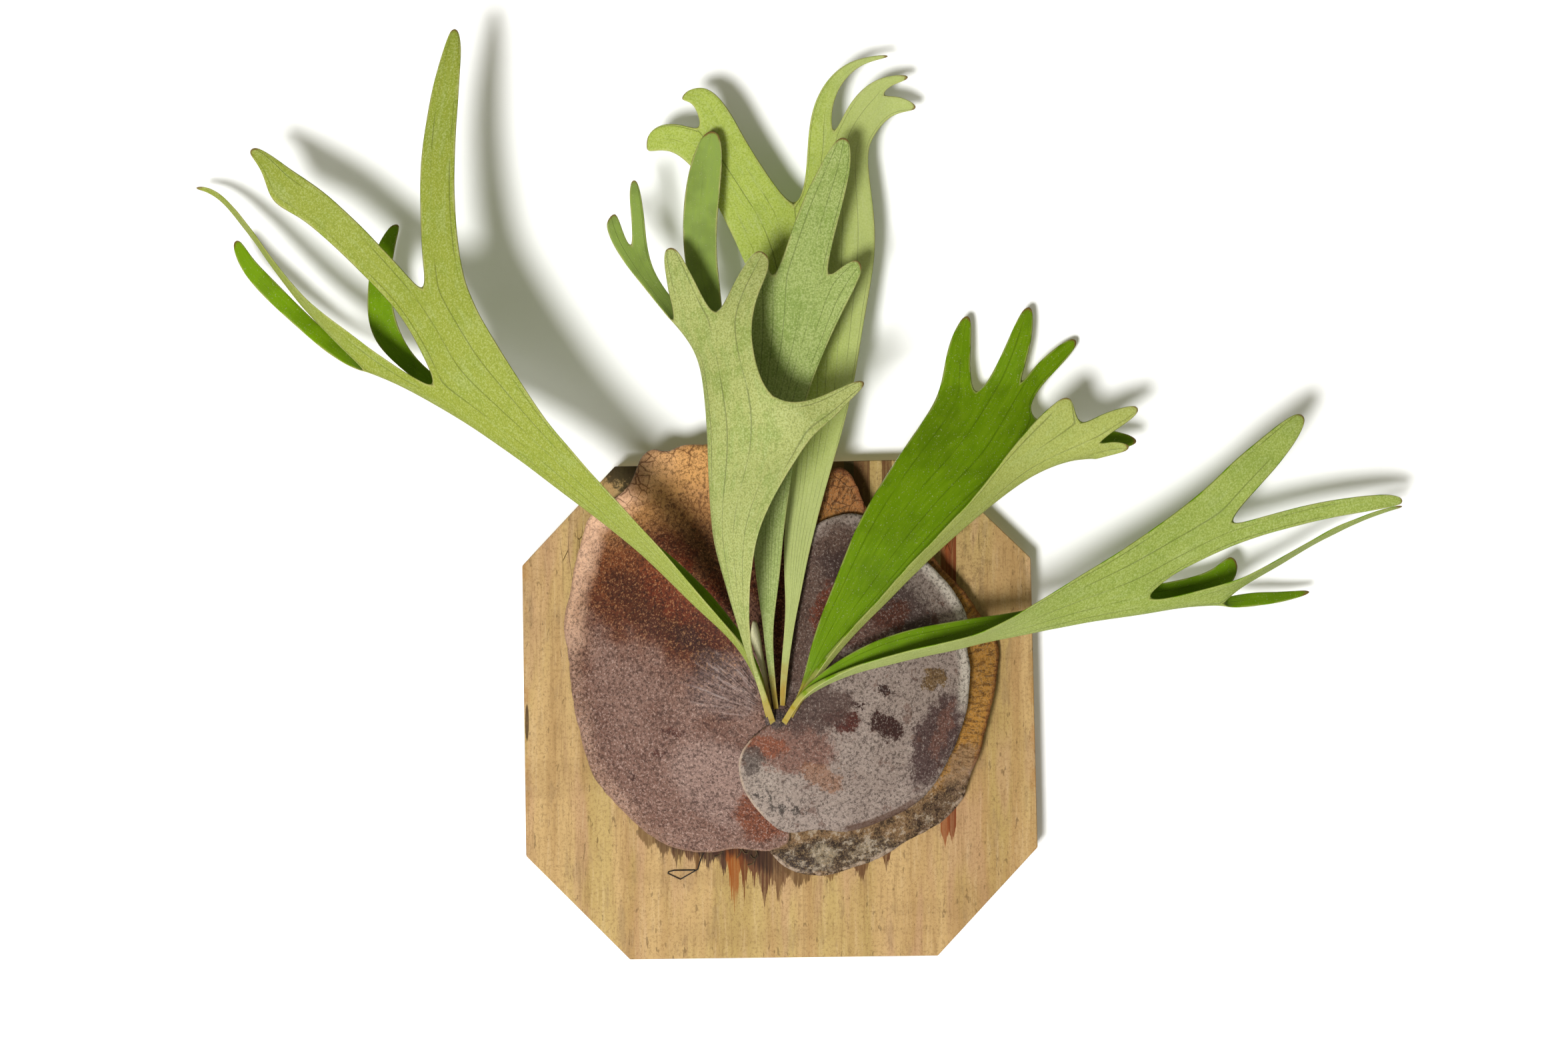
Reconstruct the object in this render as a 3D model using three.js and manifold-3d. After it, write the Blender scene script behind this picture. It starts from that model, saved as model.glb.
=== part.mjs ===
// A staghorn fern tied to an octagonal board that hangs on a wall. Millimetres, +Z up. The board's back lies on
// the plane y = 0, centred on the origin, and the plant faces -Y.
//
// Most points are written [x, z, stand]: x and z as they line up on the board's front face for somebody looking
// straight at the plant from VIEW.distance, and stand, the height off that face. at() turns one into a place.
import * as THREE from 'three';
import { mergeVertices } from 'three/addons/utils/BufferGeometryUtils.js';
import Module from 'manifold-3d';

const wasm = await Module();
wasm.setup();

const GAP = 0.3; // clearance between pieces that touch
const VIEW = { x: 2.5, z: 109, distance: 1900 };
const BOARD = { thickness: 18 };
const BLADE = { thickness: 1.5, stalk: 3.4, stalkLength: 75 };
const BUD = { x: 0, z: -5.5, radius: 9, floor: 30, top: 45, bevel: [2.5, 4], sides: 24 };
const SOCKET = { rungs: 4, deeper: 0.08 }; // how much of a frond's foot sits in the crown, and the room under it
const DOME = { height: 38, centreZ: 8, halfWidth: 132, below: 112, above: 142, fullness: 0.8 };
const FOLD = { x: -57, z: 88, slope: new THREE.Vector2(-0.76, 0.65), halfLength: 46, crest: 7, hollow: 8 };
const VALLEY = { x: 2, depth: 9, halfWidth: 9.5, from: -6, to: 12 };
const SHIELD = { thickness: 1.7, columns: 34, rings: 7, hole: BUD.radius + 0.9, ripple: 0.6 };
const LAYER = { old: 1.2, left: 3.55, right: 5.9 }; // height of each shield's middle over the root mass
const ROOTS = { columns: 44, rings: 9, width: 0.78, sink: 0.45 };
const WIRE = { radius: 0.35, sides: 6, steps: 76 };

const colours = {
  wood: { color: 0xb89a66, roughness: 0.8 },
  roots: { color: 0x3a2a1c, roughness: 1 },
  oldShield: { color: 0x8a5a2c, roughness: 0.85 },
  leftShield: { color: 0x6b4636, roughness: 0.6 },
  rightShield: { color: 0x8f8078, roughness: 0.6 },
  crown: { color: 0x2a1d14, roughness: 0.95 },
  paleLeaf: { color: 0x9db45a, roughness: 0.65 },
  sageLeaf: { color: 0x8aa05f, roughness: 0.7 },
  brightLeaf: { color: 0x6e9a1c, roughness: 0.55 },
  wire: { color: 0x1c1a18, roughness: 0.5, metalness: 0.8 },
};

const group = new THREE.Group();

function addPiece(name, geometry, colour) {
  const mesh = new THREE.Mesh(geometry, new THREE.MeshStandardMaterial(colour));
  mesh.name = name;
  group.add(mesh);
}

function at([x, z, stand]) {
  const near = (VIEW.distance - stand) / VIEW.distance;
  return new THREE.Vector3(
    VIEW.x + (x - VIEW.x) * near,
    -(BOARD.thickness + stand),
    VIEW.z + (z - VIEW.z) * near,
  );
}

const smoothstep = (value, low, high) => THREE.MathUtils.smoothstep(value, low, high);
const bump = (offset, width) => Math.exp(-0.5 * (offset / width) ** 2);

// ---- meshes ---------------------------------------------------------------------------------------------

function average(list) {
  return list[0].map((_, axis) => list.reduce((sum, point) => sum + point[axis], 0) / list.length);
}

// Every side of every quad, keyed by its two corners, with the quads that meet there.
function sidesOf(quads) {
  const sides = new Map();
  quads.forEach((quad, face) => {
    quad.forEach((from, corner) => {
      const to = quad[(corner + 1) % 4];
      const key = from < to ? `${from} ${to}` : `${to} ${from}`;
      if (!sides.has(key)) sides.set(key, { from, to, faces: [] });
      sides.get(key).faces.push(face);
    });
  });
  return sides;
}

// One round of Catmull-Clark smoothing of an open sheet. Its free margin follows a cubic B-spline.
function smooth({ points, quads }) {
  const sides = sidesOf(quads);
  const centres = quads.map((quad) => average(quad.map((corner) => points[corner])));
  const around = points.map(() => ({ centres: [], middles: [], margin: [] }));
  quads.forEach((quad, face) => quad.forEach((corner) => around[corner].centres.push(centres[face])));
  const made = [];
  for (const side of sides.values()) {
    const ends = [points[side.from], points[side.to]];
    const open = side.faces.length === 1;
    for (const [corner, other] of [[side.from, side.to], [side.to, side.from]]) {
      around[corner].middles.push(average(ends));
      if (open) around[corner].margin.push(points[other]);
    }
    side.index = points.length + made.length;
    made.push(open ? average(ends) : average([...ends, ...side.faces.map((face) => centres[face])]));
  }
  const moved = points.map((point, index) => {
    const { centres: faces, middles, margin } = around[index];
    if (margin.length) return average([point, point, point, point, point, point, ...margin]);
    const count = faces.length;
    const [face, middle] = [average(faces), average(middles)];
    return point.map((value, axis) => (face[axis] + 2 * middle[axis] + (count - 3) * value) / count);
  });
  const firstCentre = points.length + made.length;
  const sideIndex = (from, to) => sides.get(from < to ? `${from} ${to}` : `${to} ${from}`).index;
  const split = quads.flatMap((quad, face) => quad.map((corner, turn) => [
    corner,
    sideIndex(corner, quad[(turn + 1) % 4]),
    firstCentre + face,
    sideIndex(quad[(turn + 3) % 4], corner),
  ]));
  return { points: [...moved, ...made, ...centres], quads: split };
}

// A closed solid around a sheet: each point [x, y, z, thickness] gives one vertex on each face, both faces are
// split into triangles alike, and the margin is walled.
function thicken({ points, quads }) {
  const places = points.map(([x, y, z]) => new THREE.Vector3(x, y, z));
  const normals = points.map(() => new THREE.Vector3());
  for (const quad of quads) {
    const [a, b, c, d] = quad.map((corner) => places[corner]);
    const normal = c.clone().sub(a).cross(d.clone().sub(b));
    quad.forEach((corner) => normals[corner].add(normal));
  }
  const vertices = [];
  for (const side of [0.5, -0.5]) {
    places.forEach((place, index) => {
      const offset = normals[index].clone().normalize().multiplyScalar(side * points[index][3]);
      vertices.push(...place.clone().add(offset).toArray());
    });
  }
  const back = points.length;
  const faces = [];
  for (const [a, b, c, d] of quads) {
    faces.push(a, b, c, a, c, d);
    faces.push(back + a, back + c, back + b, back + a, back + d, back + c);
  }
  for (const { from, to, faces: met } of sidesOf(quads).values()) {
    if (met.length === 1) faces.push(to, from, back + from, to, back + from, back + to);
  }
  return geometryOf(vertices, faces);
}

function geometryOf(vertices, faces) {
  const geometry = new THREE.BufferGeometry();
  geometry.setAttribute('position', new THREE.Float32BufferAttribute(vertices, 3));
  geometry.setIndex(faces);
  return geometry;
}

function solidOf(geometry) {
  const bare = geometry.clone();
  bare.deleteAttribute('normal');
  bare.deleteAttribute('uv');
  const merged = mergeVertices(bare, 1e-4);
  return new wasm.Manifold(new wasm.Mesh({
    numProp: 3,
    vertProperties: new Float32Array(merged.attributes.position.array),
    triVerts: new Uint32Array(merged.index.array),
  }));
}

function cut(geometry, tools) {
  const left = tools.reduce((solid, tool) => solid.subtract(solidOf(tool)), solidOf(geometry));
  const mesh = left.getMesh();
  return geometryOf(Array.from(mesh.vertProperties), Array.from(mesh.triVerts));
}

// ---- fronds ---------------------------------------------------------------------------------------------

// A strap is a stretch of blade: how many columns it has, its rungs from foot to tip, and the straps that it
// forks into, in order across. A rung holds the blade's points from one margin to the other.
const strap = (columns, rungs, ...forks) => ({ columns, rungs, forks });

// The points of one rung, one more than the columns. A folded rung has its fold's place second of three.
function spread(rung, columns, fold) {
  if (rung.length === columns + 1) return rung;
  const stops = rung.length === 3 ? [0, fold, columns] : [0, columns];
  return Array.from({ length: columns + 1 }, (_, column) => {
    const start = stops.length === 3 && column > fold ? 1 : 0;
    const share = (column - stops[start]) / (stops[start + 1] - stops[start]);
    return rung[start].map((value, axis) => THREE.MathUtils.lerp(value, rung[start + 1][axis], share));
  });
}

function sheetOf(blade) {
  const points = [];
  const quads = [];
  const grow = (part, before, reach) => {
    let last = before;
    let run = reach;
    part.rungs.forEach((rung) => {
      const places = spread(rung, part.columns, blade.fold).map(at);
      const middle = places[0].clone().lerp(places[part.columns], 0.5);
      if (last) run += middle.distanceTo(last.middle);
      const stalk = 1 - smoothstep(run, 0.35 * BLADE.stalkLength, BLADE.stalkLength);
      const thickness = THREE.MathUtils.lerp(BLADE.thickness, BLADE.stalk, stalk) + (blade.swell ?? 0);
      const indices = places.map((place) => points.push([...place.toArray(), thickness]) - 1);
      if (last) {
        for (let column = 0; column < part.columns; column += 1) {
          quads.push([last.indices[column], last.indices[column + 1], indices[column + 1], indices[column]]);
        }
      }
      last = { indices, middle };
    });
    let start = 0;
    for (const fork of part.forks) {
      const indices = last.indices.slice(start, start + fork.columns + 1);
      grow(fork, { indices, middle: last.middle }, run);
      start += fork.columns;
    }
  };
  grow(blade, null, 0);
  return smooth({ points, quads });
}

// The room that a frond's foot takes up in the crown: its first rungs, larger by the gap all round.
function socketOf(blade) {
  const further = (from, point, share) => point.map((value, axis) => value + share * (value - from[axis]));
  const [foot, ...rest] = blade.rungs.slice(0, SOCKET.rungs).map((rung) => {
    const places = spread(rung, blade.columns, blade.fold);
    const middle = average([rung[0], rung.at(-1)]);
    const reach = Math.hypot(...middle.map((value, axis) => value - rung[0][axis]));
    return places.map((place) => further(middle, place, GAP / reach));
  });
  const deeper = foot.map((place, column) => further(rest[0][column], place, SOCKET.deeper));
  return thicken(sheetOf({ ...strap(blade.columns, [deeper, ...rest]), fold: blade.fold, swell: 2 * GAP }));
}

// Each frond runs from its foot in the crown to its lobes. A folded one is a trough: its far margin comes first,
// then its fold, then the margin nearer the viewer.
const leftFrond = { fold: 2, ...strap(5, [
  [[-5.6, -7, 37], [-5.6, -7, 40]],
  [[-6.6, -3, 45], [-7, -3, 48]],
  [[-9, 7.2, 48.5], [-9.4, 7.2, 52]],
  [[-11.5, 22, 50.5], [-13.6, 20.2, 54], [-12.3, 21, 58]],
  [[-20.1, 41, 53], [-24.6, 37.4, 58], [-22.4, 39.2, 63]],
  [[-34, 60.3, 57], [-44.3, 53, 64], [-39.6, 57.5, 73]],
  [[-57, 86, 57], [-66, 75, 68], [-60.5, 83.5, 82]],
  [[-91, 110, 52], [-97.5, 103, 66], [-88, 114, 84]],
  [[-120, 133, 46], [-122, 120.5, 62], [-109.5, 136.5, 82]],
  [[-148, 161, 42], [-156, 145, 58], [-136.3, 167.5, 80]],
  [[-187, 184, 30], [-200.7, 184, 28], [-207, 179, 44], [-199.5, 185, 58], [-183, 201, 68], [-162.8, 209.2, 76]],
],
strap(1, [
  [[-217.4, 206, 20], [-237.7, 210, 16]],
  [[-228, 235.4, 16], [-242.4, 232.2, 13]],
  [[-226.8, 262.7, 12], [-240.4, 258.8, 10]],
  [[-222.9, 278, 8], [-234, 274, 7]],
  [[-221.8, 283.6, 5], [-227, 284, 5]],
]),
strap(2, [
  [[-235.4, 202, 22], [-237, 193.5, 36], [-222.1, 198, 48]],
],
strap(1, [
  [[-261, 216, 15], [-260, 203.5, 24]],
  [[-282.6, 237.3, 11], [-279, 220.3, 16]],
  [[-298, 253, 8], [-300.4, 239, 10]],
  [[-309.5, 264.5, 6], [-316, 256.4, 7]],
  [[-315.5, 275.5, 4], [-321.5, 274, 4]],
]),
strap(1, [
  [[-257, 210.4, 32], [-257, 223.4, 46]],
  [[-279.6, 235.2, 24], [-277, 238.6, 42]],
  [[-300, 261.6, 17], [-296.6, 261.8, 32]],
  [[-314.6, 284.4, 8], [-312.2, 286.4, 17]],
  [[-330, 300.8, 1], [-329, 304, 5]],
  [[-342.4, 303.9, -4], [-342, 305.9, -2]],
])),
strap(2, [
  [[-206.5, 201, 56], [-190.9, 217.8, 68], [-174.2, 228, 76]],
  [[-219, 227.4, 54], [-206, 239, 64], [-183.8, 247.5, 72]],
],
strap(1, [
  [[-235.8, 246, 48], [-222.7, 260, 54]],
  [[-261.2, 271.2, 42], [-248.4, 286.6, 46]],
  [[-281.4, 289, 38], [-267, 303.6, 42]],
  [[-299, 295, 34], [-284.3, 314.6, 38]],
  [[-301.6, 315.5, 32], [-294, 321.8, 34]],
  [[-312.6, 325.6, 28], [-307, 330.4, 28]],
]),
strap(1, [
  [[-209.8, 263.4, 62], [-187.2, 265, 70]],
  [[-210.6, 294, 58], [-190, 291, 66]],
  [[-210.2, 327, 54], [-190.3, 324.3, 60]],
  [[-204, 362, 50], [-187.6, 360.2, 54]],
  [[-196.8, 386, 46], [-185.6, 386, 48]],
  [[-192.6, 398.6, 43], [-187.8, 398.6, 43]],
]))) };

const frontFrond = { fold: 3, ...strap(6, [
  [[-3.6, -9.6, 38], [-3.6, -9.6, 42]],
  [[-4.6, -6.5, 47], [-4.6, -6.5, 51]],
  [[-9, 6.5, 59], [-9, 6.5, 63]],
  [[-14.8, 23.2, 65], [-14.8, 23.2, 69.5]],
  [[-17.6, 35.7, 67], [-20.5, 35, 71], [-17.2, 36, 76]],
  [[-21.4, 63.4, 64], [-29.5, 62.6, 71], [-18.4, 63.4, 81]],
  [[-24, 85.2, 60], [-37, 84, 70], [-16.2, 86, 85]],
  [[-25.4, 106.7, 56], [-42.4, 105.5, 67], [-11.9, 107.4, 87]],
  [[-26.4, 128, 54], [-44.8, 128, 66], [-0.6, 130, 89]],
  [[-26.4, 149.6, 52], [-45.6, 154.2, 64], [14.6, 154.2, 89]],
  [[-27, 176, 49], [-33.5, 176, 51], [-39.5, 177.5, 55], [-46.6, 180.8, 62], [-29, 180, 76], [-6, 180, 86],
    [22, 162, 88]],
],
strap(5, [
  [[-28.5, 202, 45], [-35.5, 202, 44], [-43, 202, 49], [-50, 202.2, 58], [-33, 206, 72], [-15.8, 206, 80]],
  [[-32.5, 222, 41], [-44.5, 222, 38], [-52, 222, 43], [-59.4, 220.5, 52], [-37.2, 226, 68], [-16.6, 227, 76]],
],
strap(1, [
  [[-34.2, 243.2, 36], [-52.4, 243.2, 33]],
  [[-37.4, 266.6, 34], [-57, 266.6, 30]],
  [[-36, 292, 32], [-57, 292, 28]],
  [[-33, 317, 30], [-54, 317, 26]],
  [[-34, 339.6, 28], [-44.6, 339.6, 26]],
]),
strap(2, [
  [[-67.4, 243.4, 38], [-71, 242.2, 41], [-74.6, 240.6, 44]],
  [[-77.2, 262, 37], [-86, 266, 38], [-93.6, 263.6, 41]],
],
strap(1, [
  [[-78.8, 286, 35], [-86.6, 286, 35]],
  [[-81, 301, 34], [-88.4, 301, 34]],
  [[-83.4, 309.8, 33], [-87, 309.8, 33]],
]),
strap(1, [
  [[-92.4, 280, 38], [-101, 278.6, 40]],
  [[-95.6, 293, 37], [-102, 285, 39]],
])),
strap(1, [
  [[-65.4, 243, 50], [-47, 245, 62]],
  [[-68.2, 259, 50], [-54.8, 260.6, 58]],
  [[-67.8, 270.2, 50], [-60.6, 270.6, 53]],
]),
strap(1, [
  [[-29, 246.4, 66], [-12.4, 243.2, 72]],
  [[-20.4, 260.8, 64], [-6.3, 255.6, 68]],
  [[-13, 270.4, 62], [-5.6, 265, 63]],
])),
strap(1, [
  [[13.8, 178.4, 85], [32.6, 170.6, 84]],
  [[32.2, 186.6, 82], [40.4, 179.8, 81]],
  [[47.6, 193.6, 79], [51.6, 190.2, 78]],
])) };

const middleFrond = strap(3, [
  [[-2.6, -5.8, 36], [0.2, -5.8, 36]],
  [[-3, -2, 43.5], [-0.2, -2, 43.5]],
  [[-5.4, 11.5, 48], [-2.1, 11.5, 48]],
  [[-9, 37.6, 52], [-4.1, 37.6, 52]],
  [[-10.3, 52.8, 53], [-3.5, 52.8, 53]],
  [[-14.6, 79, 53], [0.4, 79, 52]],
  [[-16, 105, 51], [2.3, 105, 49]],
  [[-18.5, 142, 47], [8, 142, 45]],
  [[-20, 180.8, 43], [14, 180.8, 42]],
  [[-21.5, 216, 41], [-2, 214, 43], [17, 214, 42], [29, 216, 41]],
  [[-21, 241, 40], [-3.7, 249, 42], [26.3, 250, 40], [37.4, 233, 42]],
],
strap(1, [
  [[-16.6, 254, 39], [-6.6, 258.4, 40]],
  [[-13.6, 264, 38], [-8.8, 265, 38]],
]),
strap(1, [
  [[5.4, 276, 40], [32.2, 276, 38]],
  [[13.4, 298.8, 38], [38, 298, 36]],
  [[24, 318.6, 36], [43, 319.6, 34]],
  [[33.6, 335.4, 34], [41, 335, 34]],
]),
strap(1, [
  [[36, 259.4, 40], [44.4, 247, 42]],
  [[45.4, 264.4, 40], [49.4, 258.4, 41]],
]));

const backFrond = strap(5, [
  [[0.2, -1.4, 36], [3, -1.4, 36]],
  [[0, 4, 46.2], [3.2, 4, 46.2]],
  [[0.4, 22, 47], [4.6, 22, 47]],
  [[3, 48.2, 46], [8.4, 48.2, 45.5]],
  [[3.5, 63.8, 44], [11.7, 63.8, 43.5]],
  [[2, 86.4, 41], [16, 86.4, 39.5]],
  [[3, 109.4, 36], [21.6, 109.4, 33]],
  [[6, 138, 31], [29.3, 138, 27]],
  [[2.5, 165, 25], [37.8, 165, 21]],
  [[-3, 196.4, 20], [45, 196.4, 15]],
  [[-8, 228, 18], [49, 228, 13]],
  [[-19.3, 258.8, 18], [-4, 276, 16], [9.6, 289, 14], [24, 289, 13], [42, 281, 11], [58.6, 270.5, 9]],
],
strap(2, [
  [[-34, 290.4, 18], [-7.4, 313, 17]],
  [[-46.8, 312.4, 18], [-20, 332.6, 17]],
  [[-58.6, 324, 16], [-45, 337.2, 17], [-27.7, 348, 17]],
],
strap(1, [
  [[-66.2, 327, 14], [-59, 343.4, 15]],
  [[-75, 326, 11], [-72.4, 342, 12]],
  [[-77.8, 326, 8], [-78.4, 334.6, 9]],
]),
strap(1, [
  [[-48.4, 350, 17], [-37, 360.6, 17]],
  [[-52.2, 355.4, 16], [-45.8, 364.8, 16]],
  [[-59, 356, 14], [-55, 362, 14]],
])),
strap(3, [
  [[15.6, 310, 12], [52.3, 309.5, 6]],
  [[16, 331, 11], [30.6, 332.6, 9], [40, 332, 7], [51.5, 327, 4]],
],
strap(1, [
  [[18, 348.6, 11], [30, 349.4, 10]],
  [[24.2, 364.4, 10], [33.9, 362.6, 9]],
  [[36, 377, 8], [42.4, 373.4, 7]],
  [[50, 381.8, 5], [52.2, 378.8, 4]],
  [[64, 383, 2], [64, 381, 1]],
]),
strap(2, [
  [[39, 352, 8], [54.2, 333.6, 4]],
  [[47, 362, 6], [58.8, 358, 4], [61, 343.6, 2]],
],
strap(1, [
  [[57.9, 370, 4], [64.4, 365, 3]],
  [[75.6, 371.8, 1], [76, 368, 0]],
]),
strap(1, [
  [[68.8, 359.4, 2], [69, 349, 1]],
  [[80, 354, 0], [80.4, 350, -1]],
]))));

const rightFrond = { fold: 4, ...strap(7, [
  [[5, -6.6, 35.5], [5, -6.6, 39]],
  [[6.4, -3.4, 45], [6.6, -3.4, 48.5]],
  [[12.4, 10.8, 48], [15.6, 10.8, 49.5], [14.4, 11.6, 52.5]],
  [[16.2, 29.4, 48.5], [29.8, 28.7, 49], [27.4, 31, 54]],
  [[22.8, 52, 48], [47.8, 47.2, 45], [45, 50.5, 51.5]],
  [[31.2, 71.6, 44], [66.8, 65.4, 42], [60.3, 66.5, 50]],
  [[40.6, 97.3, 40], [90.2, 88.8, 38], [75, 83.9, 50]],
  [[50, 117.6, 34], [109.8, 104.3, 33], [93, 101.6, 48]],
  [[66.3, 143.3, 22], [133, 124.4, 28], [114, 123.4, 45]],
  [[81, 165, 10], [155.4, 137, 24], [131.8, 147.6, 42]],
  [[93, 182.3, 2], [113.7, 179.4, 0], [139.6, 187.4, 0], [143.6, 166, 6], [180.6, 145, 20], [185, 154.2, 28],
    [176, 165.4, 32], [147, 167, 36]],
],
strap(1, [
  [[96.3, 201, -2], [111.2, 199.5, -3]],
  [[99, 215.4, -5], [112.2, 214, -6]],
  [[107, 230.8, -9], [112.4, 230.8, -9]],
]),
strap(1, [
  [[125.6, 198, -2], [144.7, 204, -3]],
  [[133.8, 216.8, -5], [148.4, 220, -6]],
  [[142.4, 236, -9], [148.6, 236, -9]],
]),
strap(1, [
  [[148, 200, -4], [147.6, 184, -2]],
  [[161, 211.4, -8], [166, 202, -8]],
  [[172, 218.4, -12], [175.6, 214, -12]],
]),
strap(1, [
  [[183.5, 166, 4], [196, 150.6, 13]],
  [[207.4, 160.6, 7], [211.4, 155.2, 8]],
]),
strap(1, [
  [[191.6, 148, 21], [193.8, 157.4, 26]],
  [[204.2, 150.6, 21], [205.6, 155, 22]],
]),
strap(1, [
  [[196, 163, 28], [187.2, 172.4, 30]],
  [[204.8, 168.2, 27], [200.6, 176.6, 28]],
  [[211, 174.4, 26], [208.8, 178, 26]],
]),
strap(1, [
  [[172.8, 173.8, 33], [158, 176.6, 36]],
  [[170.8, 182.6, 33], [165.2, 182.4, 34]],
])) };

const farRightFrond = { fold: 2, ...strap(5, [
  [[1.6, -9.8, 38], [1.6, -9.8, 42]],
  [[3.6, -6.4, 48], [3.6, -6.4, 51.5]],
  [[9.2, 2.9, 56], [9.2, 2.9, 60]],
  [[14.4, 12.2, 58.5], [16.4, 9.6, 61], [15.4, 11.1, 65]],
  [[26, 23.2, 59], [34.5, 18, 59], [33.6, 21, 66]],
  [[51, 38.8, 56], [59.5, 23.8, 56], [59.5, 30.6, 68]],
  [[77.8, 47.5, 50], [86.8, 30.3, 52], [96, 38.4, 69]],
  [[107, 52.2, 44], [117.2, 36.6, 48], [123.8, 46, 69]],
  [[142.5, 57.3, 34], [148.4, 42.8, 44], [145, 59, 66]],
  [[175.7, 64, 24], [183.5, 47.9, 36], [170, 74, 60]],
  [[214, 72, 14], [217.8, 62, 14], [213, 53.2, 28], [208, 60.3, 38], [207, 79.4, 46], [201.4, 93.8, 52]],
],
strap(1, [
  [[238, 76, 8], [243, 64, 7]],
  [[254.3, 81.2, 4], [264, 68.6, 3]],
  [[264, 92, 0], [269.6, 84, 0]],
]),
strap(2, [
  [[245.9, 62, 8], [254.8, 60.2, 18], [245.9, 68.8, 30]],
],
strap(1, [
  [[271.2, 68, 4], [270.1, 58.5, 10]],
  [[290.7, 68.3, 1], [290.7, 61.2, 5]],
  [[311, 70, -3], [311, 67, -2]],
]),
strap(1, [
  [[274, 73.2, 16], [272.6, 76.8, 32]],
  [[298.4, 88, 14], [297.2, 90.4, 27]],
  [[325.6, 103.4, 11], [325, 106, 20]],
  [[347.2, 114, 8], [346.6, 116, 14]],
  [[365.6, 117.3, 5], [365.6, 118.9, 9]],
])),
strap(2, [
  [[227, 77.4, 36], [231, 89.8, 42], [226.3, 111, 48]],
  [[258.2, 93, 33], [259.6, 105, 38], [250.3, 129.6, 44]],
],
strap(1, [
  [[285, 102.6, 30], [279, 112, 34]],
  [[312.2, 109.4, 26], [309, 119.6, 30]],
  [[339.5, 114.7, 22], [337.8, 124.6, 25]],
  [[356.7, 117.8, 19], [355.9, 126.2, 21]],
  [[365, 119.6, 17], [364.6, 123.8, 18]],
]),
strap(1, [
  [[275.6, 125.2, 38], [264.2, 144.6, 42]],
  [[290.4, 140, 36], [278.5, 155.6, 39]],
  [[302.8, 157, 33], [293.2, 168.2, 35]],
  [[309, 170.4, 30], [303.4, 174, 30]],
]))) };

const youngFrond = strap(2, [
  [[-5.2, -1.4, 37], [-3.4, -1.4, 37]],
  [[-6.8, 3.6, 45.6], [-5, 3.6, 45.6]],
  [[-9.4, 18.5, 46], [-7, 18.5, 46.5]],
  [[-11.8, 27, 47], [-9.4, 27, 48]],
  [[-13.6, 33.4, 47], [-10.6, 33.8, 49]],
  [[-17.4, 40.4, 47], [-11, 40.4, 49.4]],
  [[-16.8, 46.6, 48], [-12.4, 46.6, 50]],
  [[-15.8, 52, 49], [-14, 52, 50]],
]);

// ---- root mass and shields ------------------------------------------------------------------------------

// How far the root mass stands off the board: a dome with a fold raised across its upper left, a hollow behind
// it, and a valley that the fronds rise through.
function domeHeight(x, z) {
  const rise = z - DOME.centreZ;
  const out = (x / DOME.halfWidth) ** 2 + (rise / (rise < 0 ? DOME.below : DOME.above)) ** 2;
  const dome = DOME.height * Math.max(0, 1 - out) ** DOME.fullness;
  const along = (x - FOLD.x) * FOLD.slope.x + (z - FOLD.z) * FOLD.slope.y;
  const across = (x - FOLD.x) * FOLD.slope.y - (z - FOLD.z) * FOLD.slope.x;
  const profile = FOLD.crest * bump(across + 4, 8) - FOLD.hollow * bump(across - 18, 13);
  const valley = VALLEY.depth * bump(x - VALLEY.x, VALLEY.halfWidth) * smoothstep(z, VALLEY.from, VALLEY.to);
  return Math.max(0, dome + (bump(along, FOLD.halfLength) * profile - valley) * smoothstep(1 - out, 0, 0.3));
}

// The place over the dome that lines up with (x, z), lifted off the dome square to its surface.
function overDome(x, z, lift) {
  const step = 0.5;
  const slopeAt = (u, w) => new THREE.Vector3(
    (domeHeight(u - step, w) - domeHeight(u + step, w)) / (2 * step),
    (domeHeight(u, w - step) - domeHeight(u, w + step)) / (2 * step),
    1,
  ).normalize();
  const lean = slopeAt(x, z);
  const [footX, footZ] = [x - lift * lean.x, z - lift * lean.y];
  const out = slopeAt(footX, footZ);
  return at([footX + lift * out.x, footZ + lift * out.y, domeHeight(footX, footZ) + lift * out.z]);
}

// A dry shield: a sheet that fans out from the bud to its outline, laid over the dome on its layer. Its margin
// ripples, and flare(x, z) lifts a part that stands free.
function shieldOf({ outline, layer, ripples, flare = () => 0 }) {
  const margin = new THREE.CatmullRomCurve3(outline.map(([x, z]) => new THREE.Vector3(x, 0, z)))
    .getSpacedPoints(SHIELD.columns);
  const points = [];
  const quads = [];
  margin.forEach((edge, column) => {
    const bearing = Math.atan2(edge.z - BUD.z, edge.x - BUD.x);
    const inner = [BUD.x + SHIELD.hole * Math.cos(bearing), BUD.z + SHIELD.hole * Math.sin(bearing)];
    for (let ring = 0; ring <= SHIELD.rings; ring += 1) {
      const share = (ring / SHIELD.rings) ** 0.9;
      const x = THREE.MathUtils.lerp(inner[0], edge.x, share);
      const z = THREE.MathUtils.lerp(inner[1], edge.z, share);
      const ripple = SHIELD.ripple * (1 + Math.sin(ripples * bearing)) * share ** 8;
      points.push([...overDome(x, z, layer + ripple + flare(x, z)).toArray(), SHIELD.thickness]);
      if (ring && column) {
        const here = column * (SHIELD.rings + 1) + ring;
        const before = here - SHIELD.rings - 1;
        quads.push([before - 1, here - 1, here, before]);
      }
    }
  });
  return thicken({ points, quads });
}

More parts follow.
